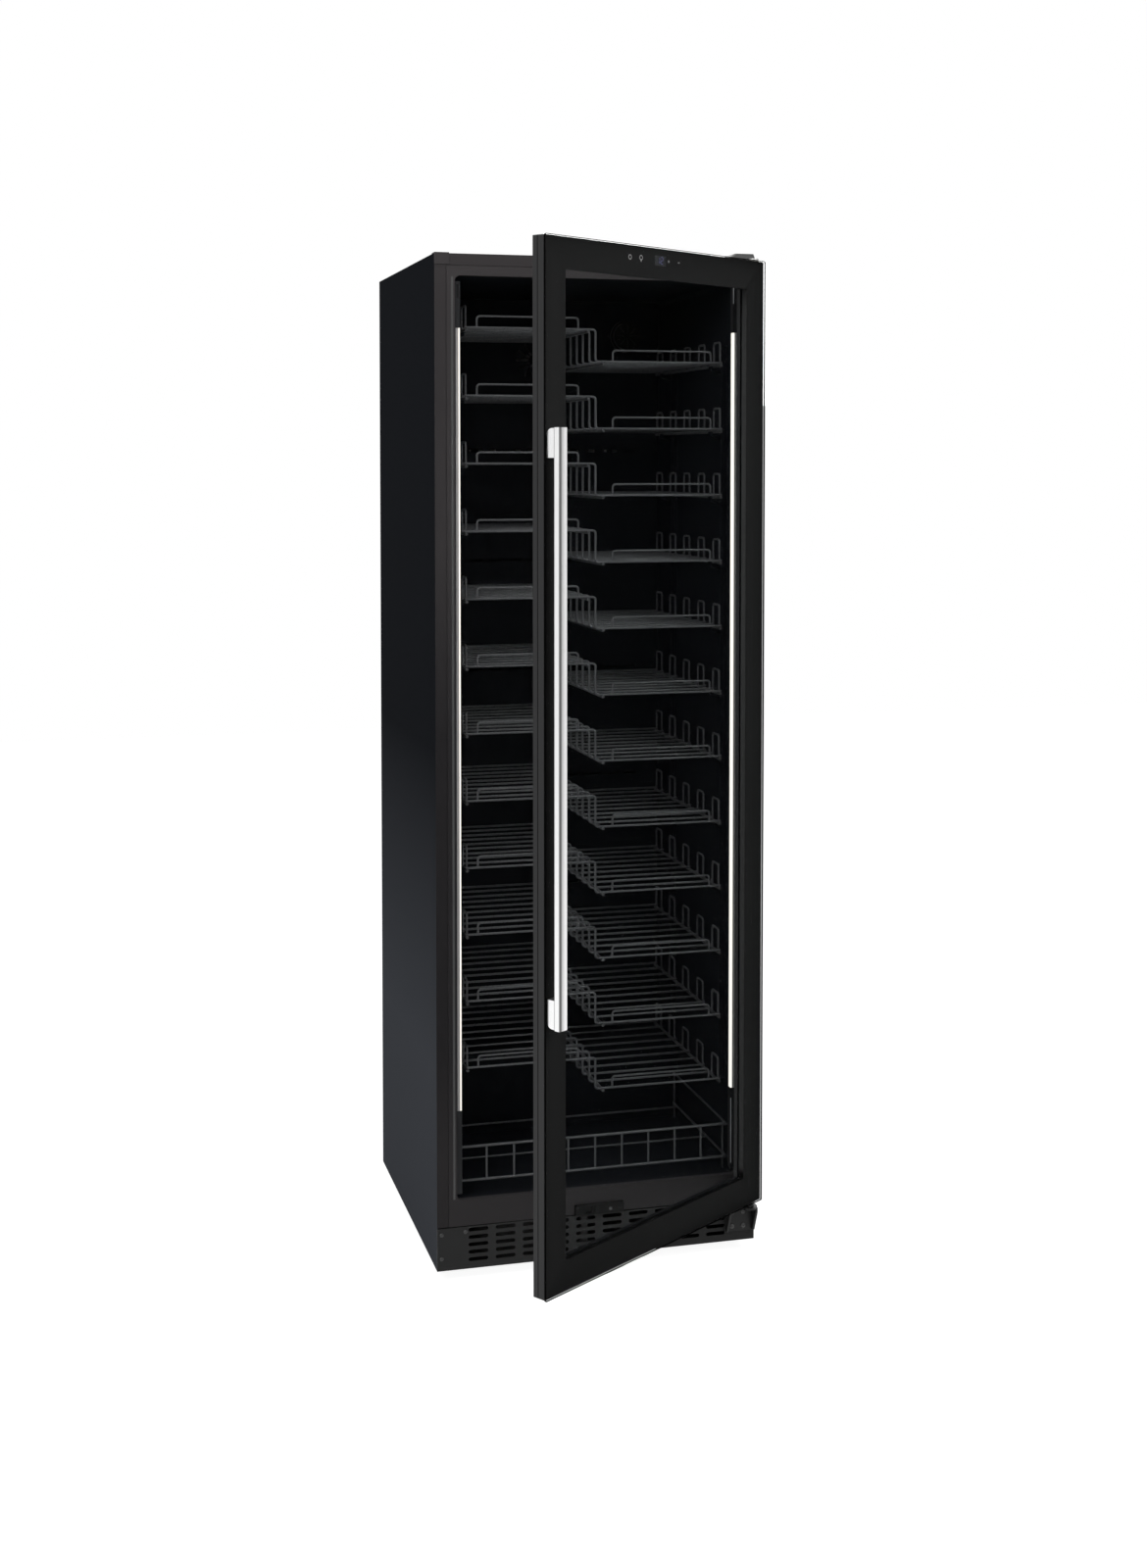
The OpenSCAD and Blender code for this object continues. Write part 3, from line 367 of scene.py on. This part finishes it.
# every finish: who makes it, and with what; colours are linear
finishTable = {
    # the cabinet's low colour is a painted reflection of the floor, mixed in towards the bottom
    "cabinetPaint": (cabinetCoat, dict(side=grey(0.0085, 0.004), low=grey(0.085, 0.021),
                                       spread=0.04, roughness=0.5, shine=0.0005)),
    "framePaint": (frameCoat, dict(spread=0.04, roughness=0.42, shine=0.05)),
    "kickPaint": (powderCoat, dict(colour=grey(0.035), spread=0.06, roughness=0.45, shine=0.1)),
    "doorPaint": (powderCoat, dict(colour=grey(0.0135, 0.001), spread=0.05, roughness=0.36,
                                   shine=0.3)),
    "rackCoat": (mouldedPlastic, dict(colour=grey(0.066, 0.005), roughness=0.3, grainSize=500,
                                      grainDepth=0.06 * mm, shine=0.3)),
    "linerPlastic": (mouldedPlastic, dict(colour=grey(0.0085, 0.003), roughness=0.5, shine=0.06)),
    "channelPlastic": (mouldedPlastic, dict(colour=grey(0.026, 0.002), roughness=0.35, shine=0.1)),
    "trimPlastic": (mouldedPlastic, dict(colour=grey(0.016), roughness=0.42)),
    "blackPlastic": (mouldedPlastic, dict(colour=grey(0.008), roughness=0.45, shine=0.1)),
    "machinePlastic": (mouldedPlastic, dict(colour=grey(0.03), roughness=0.5)),
    "hingePaint": (mouldedPlastic, dict(colour=grey(0.018), roughness=0.4, shine=0.2)),
    "gasketRubber": (mouldedPlastic, dict(colour=grey(0.01), roughness=0.6, grainSize=700)),
    "bushNylon": (mouldedPlastic, dict(colour=(0.62, 0.6, 0.54), roughness=0.45)),
    "foam": (mouldedPlastic, dict(colour=(0.7, 0.6, 0.36), roughness=0.9, grainSize=300,
                                  grainDepth=0.6 * mm)),
    "bareSteel": (galvanisedSteel, dict(colour=grey(0.42), roughness=0.38)),
    "screwSteel": (mouldedPlastic, dict(colour=grey(0.045), roughness=0.4)),
    # the handle's dark colour is a painted reflection along the bar's front face
    "handleSteel": (barSteel, dict(bright=grey(0.86), dark=grey(0.08), roughness=0.3)),
    "postSteel": (brushedMetal, dict(colour=grey(0.86), roughness=0.3, along="Z")),
    "finAluminium": (brushedMetal, dict(colour=grey(0.2), roughness=0.35, along="X")),
    # the base pan's near-black paint is partly painted shade, so the kick plate's slots look dark
    "panSteel": (powderCoat, dict(colour=grey(0.006), spread=0.1, roughness=0.5, shine=0.1)),
    "spacerAluminium": (spacerCoat, dict(upright=grey(0.06), sill=grey(0.004), spread=0.05,
                                         roughness=0.4, shine=0.1)),
    "compressorPaint": (powderCoat, dict(colour=grey(0.008), spread=0.2, roughness=0.25)),
    "clearGlass": (windowGlass, dict(colour=(0.97, 0.98, 0.98), tint=(0.93, 0.94, 0.94),
                                     index=1.015)),
    "glassPrint": (newFinish, dict(colour=grey(0.0305), roughness=0.2, shine=0.0)),
    # the pane edge's near-black is painted shade
    "edgePrint": (newFinish, dict(colour=grey(0.004), roughness=0.5, shine=0.0)),
    "panelGloss": (newFinish, dict(colour=grey(0.006, 0.004), roughness=0.15, shine=0.2)),
    "symbolPrint": (newFinish, dict(colour=grey(0.5), roughness=0.5)),
    "digitGlow": (glowing, dict(colour=(0.05, 0.05, 0.16), strength=0.3)),
    "lampGlow": (glowing, dict(colour=(1.0, 0.95, 0.86), strength=0.9)),
    "lampHousing": (mouldedPlastic, dict(colour=(0.42, 0.405, 0.4), roughness=0.35)),
    # the clip ends' pale colour is partly painted light for the shaded right jamb
    "clearProfile": (newFinish, dict(colour=(0.8, 0.8, 0.83), roughness=0.3)),
    # the jamb strips: a painted highlight on the left, painted lamp light on the right
    "jambLipLeft": (mouldedPlastic, dict(colour=grey(0.06), roughness=0.4)),
    "jambLipRight": (mouldedPlastic, dict(colour=(0.27, 0.25, 0.255), roughness=0.4)),
}
finishes = {name: make(name, **settings) for name, (make, settings) in finishTable.items()}
print("finishes made:", len(finishes))

finishOfNode = {
    "outer_shell": "cabinetPaint", "rear_panel": "bareSteel", "base_pan": "panSteel",
    "inner_liner": "linerPlastic", "insulation": "foam", "front_frame": "framePaint",
    "corner_cap": "framePaint", "top_hinge_bracket": "bareSteel", "top_hinge_cover": "trimPlastic",
    "bottom_hinge_bracket": "hingePaint", "kick_plate": "kickPaint", "body_screws": "screwSteel",
    "pusher_housing": "blackPlastic", "light_channels": "channelPlastic",
    "led_strip_left": "lampGlow", "led_strip_right": "lampGlow",
    "rack_support_left": "linerPlastic", "rack_support_right": "linerPlastic",
    "lower_shelf": "rackCoat", "duct_cover": "linerPlastic", "charcoal_filter": "blackPlastic",
    "evaporator_coil": "finAluminium", "evaporator_fan_housing": "machinePlastic",
    "evaporator_fan": "machinePlastic", "compressor": "compressorPaint",
    "condenser_coil": "compressorPaint", "condenser_fan_shroud": "machinePlastic",
    "condenser_fan": "machinePlastic", "drain_tray": "machinePlastic",
    "control_box": "machinePlastic", "power_inlet": "trimPlastic", "wheel_brackets": "bareSteel",
    "door_frame": "doorPaint", "outer_glass": "clearGlass", "inner_glass": "clearGlass",
    "glass_border": "glassPrint", "glass_spacer": "spacerAluminium", "door_gasket": "gasketRubber",
    "handle_bar": "handleSteel", "handle_posts": "postSteel", "display_module": "panelGloss",
    "hinge_bushes": "bushNylon", "foot_pedal": "machinePlastic", "door_pusher": "blackPlastic",
    "rear_wheel_left": "machinePlastic", "rear_wheel_right": "machinePlastic",
    "front_foot_left": "machinePlastic", "front_foot_right": "machinePlastic",
}
rackNames = [name for name in nodes if name.startswith("rack_") and name[5:].isdigit()]


def dressNodes():
    for name, node in nodes.items():
        finish = "rackCoat" if name in rackNames else finishOfNode[name]
        for place in node.material_slots:
            place.material = finishes[finish]


dressNodes()
print("finishes set on", len(nodes), "nodes")


def addPiece(name, mesh, finish, body, place=None):
    if place is not None:
        mesh.transform(place)
    mesh.materials.clear()
    mesh.materials.append(finishes[finish])
    piece = bpy.data.objects.new(name, mesh)
    bpy.context.scene.collection.objects.link(piece)
    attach(piece, body)
    return piece


def meshFrom(work, name):
    # ends a bmesh, with its faces pointing outwards
    bmesh.ops.recalc_face_normals(work, faces=work.faces)
    mesh = bpy.data.meshes.new(name)
    work.to_mesh(mesh)
    work.free()
    return mesh


def joinLoops(work, near, far):
    for i in range(len(near)):
        j = (i + 1) % len(near)
        work.faces.new((near[i], near[j], far[j], far[i]))


def prismMesh(name, outlines, start, end, place):
    # prisms from flat outlines; place makes x, y and z of an outline's point and a level
    work = bmesh.new()
    for outline in outlines:
        near = [work.verts.new(place(*point, start)) for point in outline]
        far = [work.verts.new(place(*point, end)) for point in outline]
        work.faces.new(near)
        work.faces.new(far[::-1])
        joinLoops(work, near, far)
    return meshFrom(work, name)


def columnMesh(name, outline, low, high):
    # an outline in x and y, between two heights
    return prismMesh(name, [outline], low, high, lambda x, y, z: (x, y, z))


def plateMesh(name, outlines, front, back):
    # outlines in x and z, between two depths
    return prismMesh(name, outlines, front, back, lambda x, z, y: (x, y, z))


# light bars: a grey housing against the jamb and a glowing lens beside it
lightBar = {"lensWidth": 3.1 * mm, "cornerRadius": 3 * mm, "cornerSteps": 8}


def buildLightBar(side):
    name = "Right" if side > 0 else "Left"
    node = "led_strip_" + name.lower()
    low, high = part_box(node)
    inner, outer = (low.x, high.x) if side > 0 else (high.x, low.x)
    seam = inner + side * lightBar["lensWidth"]
    radius, steps = lightBar["cornerRadius"], lightBar["cornerSteps"]
    arc = [math.pi / 2 * i / steps for i in range(steps + 1)]
    # the lens is round where it looks forwards and into the cabinet
    lens = [(inner + side * radius * (1 - math.cos(a)), low.y + radius * (1 - math.sin(a)))
            for a in arc]
    lens += [(seam, low.y), (seam, high.y), (inner, high.y)]
    housing = [(seam, low.y), (outer, low.y), (outer, high.y), (seam, high.y)]
    lensPiece = addPiece("lampLens" + name, columnMesh("lens", lens, low.z, high.z), "lampGlow",
                         "cabinet")
    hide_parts(node)
    addPiece("lampHousing" + name, columnMesh("housing", housing, low.z, high.z), "lampHousing",
             "cabinet")


for side in (-1, 1):
    buildLightBar(side)
print("light bars built")

# control panel: symbols printed behind the glass and a two-digit readout on its module
controlPanel = {
    "fromTop": 21 * mm, "stroke": 1.1 * mm, "thickness": 0.05 * mm, "intoPrint": 0.01 * mm,
    "ringAt": -82.5 * mm, "ringRadius": 3.6 * mm, "ringSteps": 24,
    "pinAt": -53.5 * mm, "pinRise": 1.2 * mm, "pinHalfWidth": 1.6 * mm, "pinOverlap": 0.8 * mm,
    "pinDrop": 3 * mm, "plusAt": 20.5 * mm, "plusReach": 5 * mm, "minusAt": 48.5 * mm,
    "minusReach": 4.4 * mm, "digitsAt": -1.5 * mm, "digitHeight": 11 * mm, "digitWidth": 6 * mm,
    "digitGap": 3.4 * mm, "segmentGap": 1.43 * mm, "digitFront": 0.12 * mm,
    "digitBack": 0.02 * mm, "reading": "12",
}
# the seven segments, a to g in the usual order, that each digit lights
segmentsOfDigit = {"0": "abcdef", "1": "bc", "2": "abged", "3": "abgcd", "4": "fgbc",
                   "5": "afgcd", "6": "afgedc", "7": "abc", "8": "abcdefg", "9": "abcdfg"}


def ringOutlines(x, z, radius, stroke, steps):
    outlines = []
    near, far = radius - stroke / 2, radius + stroke / 2
    for i in range(steps):
        a, b = 2 * math.pi * i / steps, 2 * math.pi * (i + 1) / steps
        outlines.append([(x + r * math.cos(t), z + r * math.sin(t)) for r, t in
                         ((near, a), (far, a), (far, b), (near, b))])
    return outlines


def barOutline(x, z, width, height):
    return [(x - width / 2, z - height / 2), (x + width / 2, z - height / 2),
            (x + width / 2, z + height / 2), (x - width / 2, z + height / 2)]


def digitOutlines(x, z, digit, p):
    # a segment is shorter than its side of the digit, so that it stops short of its neighbours
    width, height, stroke = p["digitWidth"], p["digitHeight"], p["stroke"]
    across, down = width - p["segmentGap"], height / 2 - p["segmentGap"]
    left, right, upper, lower = x - width / 2, x + width / 2, z + height / 4, z - height / 4
    places = {
        "a": (x, z + height / 2, across, stroke), "b": (right, upper, stroke, down),
        "c": (right, lower, stroke, down), "d": (x, z - height / 2, across, stroke),
        "e": (left, lower, stroke, down), "f": (left, upper, stroke, down),
        "g": (x, z, across, stroke),
    }
    return [barOutline(*places[segment]) for segment in segmentsOfDigit[digit]]


def symbolOutlines(p, z):
    radius, stroke, steps = p["ringRadius"], p["stroke"], p["ringSteps"]
    symbols = ringOutlines(p["ringAt"], z, radius, stroke, steps)
    # the pin is a ring with a point below it
    symbols += ringOutlines(p["pinAt"], z + p["pinRise"], radius, stroke, steps)
    neck = z - radius + p["pinOverlap"]
    symbols.append([(p["pinAt"] - p["pinHalfWidth"], neck), (p["pinAt"] + p["pinHalfWidth"], neck),
                    (p["pinAt"], z - radius - p["pinDrop"])])
    symbols.append(barOutline(p["plusAt"], z, p["plusReach"], stroke))
    symbols.append(barOutline(p["plusAt"], z, stroke, p["plusReach"]))
    symbols.append(barOutline(p["minusAt"], z, p["minusReach"], stroke))
    return symbols


def buildControlPanel(p):
    z = closedBox("outer_glass")[1].z - p["fromTop"]
    back = closedBox("glass_border")[0].y + p["intoPrint"]
    front = back - p["thickness"]
    addPiece("panelSymbols", plateMesh("symbols", symbolOutlines(p, z), front, back), "symbolPrint",
             "door", doorTurn)
    digits = []
    spread = p["digitWidth"] + p["digitGap"]
    for i, digit in enumerate(p["reading"]):
        x = p["digitsAt"] + (i - (len(p["reading"]) - 1) / 2) * spread
        digits += digitOutlines(x, z, digit, p)
    # the readout lies on the module behind the clear window in the print
    module = closedBox("display_module")[0].y
    mesh = plateMesh("digits", digits, module - p["digitFront"], module - p["digitBack"])
    addPiece("panelDigits", mesh, "digitGlow", "door", doorTurn)


buildControlPanel(controlPanel)
print("control panel built")

# dark edge of the outer pane: painted shade along the pane's edge
paneEdge = {"inset": 0.25 * mm, "width": 0.6 * mm, "radius": 2 * mm, "steps": 5}


def roundedLoop(low, high, inset, radius, steps):
    # a rounded rectangle in x and z, anticlockwise seen from the front
    left, right, bottom, top = low.x + inset, high.x - inset, low.z + inset, high.z - inset
    centres = [(right - radius, bottom + radius, -90), (right - radius, top - radius, 0),
               (left + radius, top - radius, 90), (left + radius, bottom + radius, 180)]
    loop = []
    for x, z, start in centres:
        for i in range(steps + 1):
            turn = math.radians(start + 90 * i / steps)
            loop.append((x + radius * math.cos(turn), z + radius * math.sin(turn)))
    return loop


def buildPaneEdge(p):
    low, high = closedBox("outer_glass")
    outer = roundedLoop(low, high, p["inset"], p["radius"], p["steps"])
    inner = roundedLoop(low, high, p["inset"] + p["width"], p["radius"], p["steps"])
    front, back = low.y + p["inset"], high.y - p["inset"]
    work = bmesh.new()
    rings = [[work.verts.new((x, y, z)) for x, z in loop]
             for loop, y in ((outer, front), (outer, back), (inner, back), (inner, front))]
    for near, far in zip(rings, rings[1:] + rings[:1]):
        joinLoops(work, near, far)
    addPiece("paneEdge", meshFrom(work, "paneEdge"), "edgePrint", "door", doorTurn)


buildPaneEdge(paneEdge)
print("pane edge built")


# beads and fasteners are scattered by Geometry Nodes
def stampTree(name, finish, seed=7):
    # a stamp on each point, with a small random size
    tree = bpy.data.node_groups.new(name, "GeometryNodeTree")
    sockets = tree.interface
    sockets.new_socket("Geometry", in_out="INPUT", socket_type="NodeSocketGeometry")
    sockets.new_socket("Stamp", in_out="INPUT", socket_type="NodeSocketObject")
    sockets.new_socket("Spread", in_out="INPUT", socket_type="NodeSocketFloat")
    sockets.new_socket("Geometry", in_out="OUTPUT", socket_type="NodeSocketGeometry")
    start = tree.nodes.new("NodeGroupInput")
    end = tree.nodes.new("NodeGroupOutput")
    stamp = tree.nodes.new("GeometryNodeObjectInfo")
    lowest = tree.nodes.new("ShaderNodeMath")
    lowest.operation = "SUBTRACT"
    lowest.inputs[0].default_value = 1.0
    size = tree.nodes.new("FunctionNodeRandomValue")
    size.inputs["Seed"].default_value = seed
    # its sockets for numbers, whose names its other kinds share
    sizeMin, sizeMax, sizeResult = size.inputs[2], size.inputs[3], size.outputs[1]
    sizeMax.default_value = 1.0
    place = tree.nodes.new("GeometryNodeInstanceOnPoints")
    solid = tree.nodes.new("GeometryNodeRealizeInstances")
    paint = tree.nodes.new("GeometryNodeSetMaterial")
    paint.inputs["Material"].default_value = finishes[finish]
    link = tree.links.new
    link(start.outputs["Geometry"], place.inputs["Points"])
    link(start.outputs["Stamp"], stamp.inputs["Object"])
    link(stamp.outputs["Geometry"], place.inputs["Instance"])
    link(start.outputs["Spread"], lowest.inputs[1])
    link(lowest.outputs["Value"], sizeMin)
    link(sizeResult, place.inputs["Scale"])
    link(place.outputs["Instances"], solid.inputs["Geometry"])
    link(solid.outputs["Geometry"], paint.inputs["Geometry"])
    link(paint.outputs["Geometry"], end.inputs["Geometry"])
    return tree


def stampOnPoints(name, points, stampMesh, spread, finish, body):
    stamp = bpy.data.objects.new(name + "Stamp", stampMesh)
    bpy.context.scene.collection.objects.link(stamp)
    seeds = bpy.data.meshes.new(name + "Points")
    seeds.from_pydata(points, [], [])
    carrier = bpy.data.objects.new(name + "Points", seeds)
    bpy.context.scene.collection.objects.link(carrier)
    tree = stampTree(name, finish)
    modifier = carrier.modifiers.new(name, "NODES")
    modifier.node_group = tree
    keys = {item.name: item.identifier for item in tree.interface.items_tree
            if item.in_out == "INPUT"}
    modifier[keys["Stamp"]] = stamp
    modifier[keys["Spread"]] = spread
    view = bpy.context.evaluated_depsgraph_get()
    mesh = bpy.data.meshes.new_from_object(carrier.evaluated_get(view))
    for spare in (carrier, stamp):
        bpy.data.objects.remove(spare)
    for polygon in mesh.polygons:
        polygon.use_smooth = True
    return addPiece(name, mesh, finish, body)


# weld beads: half lengths along x, y and z, and how much smaller the least one is
weldBead = {"size": (2.7 * mm, 2.4 * mm, 1.6 * mm), "rings": 4, "segments": 8, "spread": 0.2}
# the racks' wires, as the part's source sets them
rackWires = {
    "deckWire": 4 * mm, "crossWire": 5 * mm, "hoopRadius": 1.8 * mm, "beadDrop": 1.8 * mm,
    "frontInset": 6 * mm, "rowPitch": 87 * mm, "cradle": 42 * mm, "rows": 5, "middle": 14 * mm,
    "step": 57 * mm, "stopHeight": 38 * mm, "railShort": 54 * mm, "railShift": 5 * mm,
}


def beadStamp(b):
    # a flattened ball
    work = bmesh.new()
    bmesh.ops.create_uvsphere(work, u_segments=b["segments"], v_segments=b["rings"], radius=1)
    bmesh.ops.scale(work, vec=b["size"], verts=work.verts)
    return meshFrom(work, "bead")


def weldPlaces(w):
    # where deck wires cross the wires under them, and where the front rails stand on the deck
    places = []
    for name in rackNames:
        low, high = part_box(name)
        deck = high.z - w["stopHeight"] - w["hoopRadius"]
        halfWidth = (high.x - low.x) / 2
        railHalf = (halfWidth - w["railShort"]) / 2
        railMiddle = halfWidth / 2 + w["railShift"]
        front = low.y + w["frontInset"]
        rows = [front + row * w["rowPitch"] + offset
                for row in range(w["rows"]) for offset in (0, w["cradle"])]
        for side, level in ((-1, deck), (1, deck - w["step"])):
            for x in (w["middle"], halfWidth - w["crossWire"] / 2):
                places += [(side * x, y, level - w["beadDrop"]) for y in rows]
            places += [(side * (railMiddle + end * railHalf), front, level + w["deckWire"] / 2)
                       for end in (-1, 1)]
    return places


stampOnPoints("weldBeads", weldPlaces(rackWires), beadStamp(weldBead), weldBead["spread"],
              "rackCoat", "cabinet")
print("weld beads built")

# screws of the rear panel; the head's profile and its cross recess are shares of radius and height
rearScrew = {"edge": 9 * mm, "bottomEdge": 27 * mm, "pitch": 220 * mm, "stand": 0.2 * mm,
             "radius": 3.6 * mm, "height": 1.6 * mm, "segments": 20,
             "profile": ((0.55, 0.92), (0.85, 0.6), (1, 0)), "recess": 0.55}


def rearScrewPlaces(s):
    low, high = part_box("rear_panel")
    y = high.y + s["stand"]
    left, right = low.x + s["edge"], high.x - s["edge"]
    bottom, top = low.z + s["bottomEdge"], high.z - s["edge"]
    rows = round((top - bottom) / s["pitch"])
    places = [(x, y, bottom + (top - bottom) * i / rows)
              for i in range(rows + 1) for x in (left, right)]
    columns = round((right - left) / s["pitch"])
    places += [(left + (right - left) * i / columns, y, top) for i in range(1, columns)]
    return places


def panHeadStamp(s):
    # a pan head that faces +Y
    work = bmesh.new()
    turns = [2 * math.pi * i / s["segments"] for i in range(s["segments"])]
    rings = [[work.verts.new((r * s["radius"] * math.cos(turn), y * s["height"],
                              r * s["radius"] * math.sin(turn))) for turn in turns]
             for r, y in s["profile"]]
    centre = work.verts.new((0, s["height"] * s["recess"], 0))
    for near, far in zip(rings, rings[1:]):
        joinLoops(work, near, far)
    for i in range(s["segments"]):
        work.faces.new((centre, rings[0][(i + 1) % s["segments"]], rings[0][i]))
    work.faces.new(rings[-1])
    return meshFrom(work, "panHead")


stampOnPoints("rearScrews", rearScrewPlaces(rearScrew), panHeadStamp(rearScrew), 0.0,
              "screwSteel", "cabinet")
print("rear screws built")

# right jamb: the unlit ends of the lamp's clear profile, in its channel and on the frame, pale with
# painted light where that jamb lies in shade
channelClip = {
    "aboveLamp": 52 * mm, "belowLamp": 19 * mm, "endGap": 10 * mm,
    "start": 0.4 * mm, "width": 1.2 * mm, "depth": 0.3 * mm,
    "frameStart": 0.2 * mm, "frameWidth": 2.3 * mm, "frameDepth": 0.15 * mm,
}
# both jambs: a thin pale strip beside the lamp's channel, a painted highlight along the frame's
# seam; the right one is paler still, painted lamp light
jambPaintedHighlight = {"start": 3.0 * mm, "width": 3.6 * mm, "thickness": 0.15 * mm, "endReach": 8 * mm}


def buildChannelClips(p):
    low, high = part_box("light_channels")
    lampLow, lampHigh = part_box("led_strip_right")
    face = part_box("front_frame")[0].y
    spans = ((lampHigh.z + p["aboveLamp"], high.z),
             (low.z + p["endGap"], lampLow.z - p["belowLamp"]))
    for name, start, width, back, depth in (
            ("channelClips", lampLow.x + p["start"], p["width"], low.y, p["depth"]),
            ("frameClips", high.x + p["frameStart"], p["frameWidth"], face, p["frameDepth"])):
        outlines = [barOutline(start + width / 2, (bottom + top) / 2, width, top - bottom)
                    for bottom, top in spans]
        addPiece(name, plateMesh("clips", outlines, back - depth, back), "clearProfile",
                 "cabinet")


def buildJambPaintedHighlight(side, p):
    low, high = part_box("light_channels")
    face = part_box("front_frame")[0].y
    height = high.z - low.z + 2 * p["endReach"]
    middle = high.x + p["start"] + p["width"] / 2
    # the right strip is paler, painted lamp light
    name = "jambLipRight" if side > 0 else "jambLipLeft"
    outline = barOutline(side * middle, (low.z + high.z) / 2, p["width"], height)
    addPiece(name, plateMesh("lip", [outline], face - p["thickness"], face), name,
             "cabinet")


buildChannelClips(channelClip)
for side in (-1, 1):
    buildJambPaintedHighlight(side, jambPaintedHighlight)
print("jamb trims built")


def whiteForView(tree, strengthSocket, viewStrength, lampStrength):
    # white to the camera, in mirrors and through glass, while the object gets less light from it
    path = tree.nodes.new("ShaderNodeLightPath").outputs
    mirrored = combine(tree, "MAXIMUM", path["Is Glossy Ray"], path["Is Transmission Ray"])
    seen = combine(tree, "MAXIMUM", path["Is Camera Ray"], mirrored)
    strength = tree.nodes.new("ShaderNodeMapRange")
    strength.inputs["To Min"].default_value = lampStrength
    strength.inputs["To Max"].default_value = viewStrength
    tree.links.new(seen, strength.inputs["Value"])
    tree.links.new(strength.outputs["Result"], strengthSocket)


studio = {"worldLight": 0.16, "worldView": 1.0, "floorSize": 14.0, "floorColour": 0.45,
          "floorRoughness": 0.9, "floorView": 0.93}


def buildStudio(s):
    world = bpy.data.worlds.new("studio")
    bpy.context.scene.world = world
    world.use_nodes = True
    background = world.node_tree.nodes["Background"]
    background.inputs["Color"].default_value = (1, 1, 1, 1)
    whiteForView(world.node_tree, background.inputs["Strength"], s["worldView"], s["worldLight"])

    half = s["floorSize"] / 2
    mesh = bpy.data.meshes.new("floor")
    corners = [(-half, -half, 0), (half, -half, 0), (half, half, 0), (-half, half, 0)]
    mesh.from_pydata(corners, [], [(0, 1, 2, 3)])
    floor = bpy.data.objects.new("floor", mesh)
    bpy.context.scene.collection.objects.link(floor)
    material = newFinish("floorPaint", grey(s["floorColour"]), s["floorRoughness"], shine=0.0,
                         **{"Emission Color": (1, 1, 1, 1)})
    shader = material.node_tree.nodes["Principled BSDF"]
    whiteForView(material.node_tree, shader.inputs["Emission Strength"], s["floorView"], 0.0)
    mesh.materials.append(material)


softboxes = {
    "keySoftbox": {"place": (-2.2, -2.4, 3.1), "aim": (0, 0, 1.1), "size": 1.8, "power": 52},
    "frontSoftbox": {"place": (2.0, -3.0, 2.9), "aim": (0, 0, 1.1), "size": 2.2, "power": 42},
    "topSoftbox": {"place": (0, 0.2, 4.2), "aim": (0, 0, 0), "size": 3.0, "power": 50},
    "rearSoftbox": {"place": (1.5, 3.6, 2.6), "aim": (0, 0, 0.9), "size": 2.0, "power": 40},
}


def buildSoftbox(name, s):
    data = bpy.data.lights.new(name, "AREA")
    data.size = s["size"]
    data.energy = s["power"]
    lamp = bpy.data.objects.new(name, data)
    lamp.location = s["place"]
    aim = Vector(s["aim"]) - Vector(s["place"])
    lamp.rotation_euler = aim.to_track_quat("-Z", "Y").to_euler()
    bpy.context.scene.collection.objects.link(lamp)


buildStudio(studio)
for name, settings in softboxes.items():
    buildSoftbox(name, settings)
bpy.context.scene.view_settings.view_transform = "Standard"
print("studio lit")
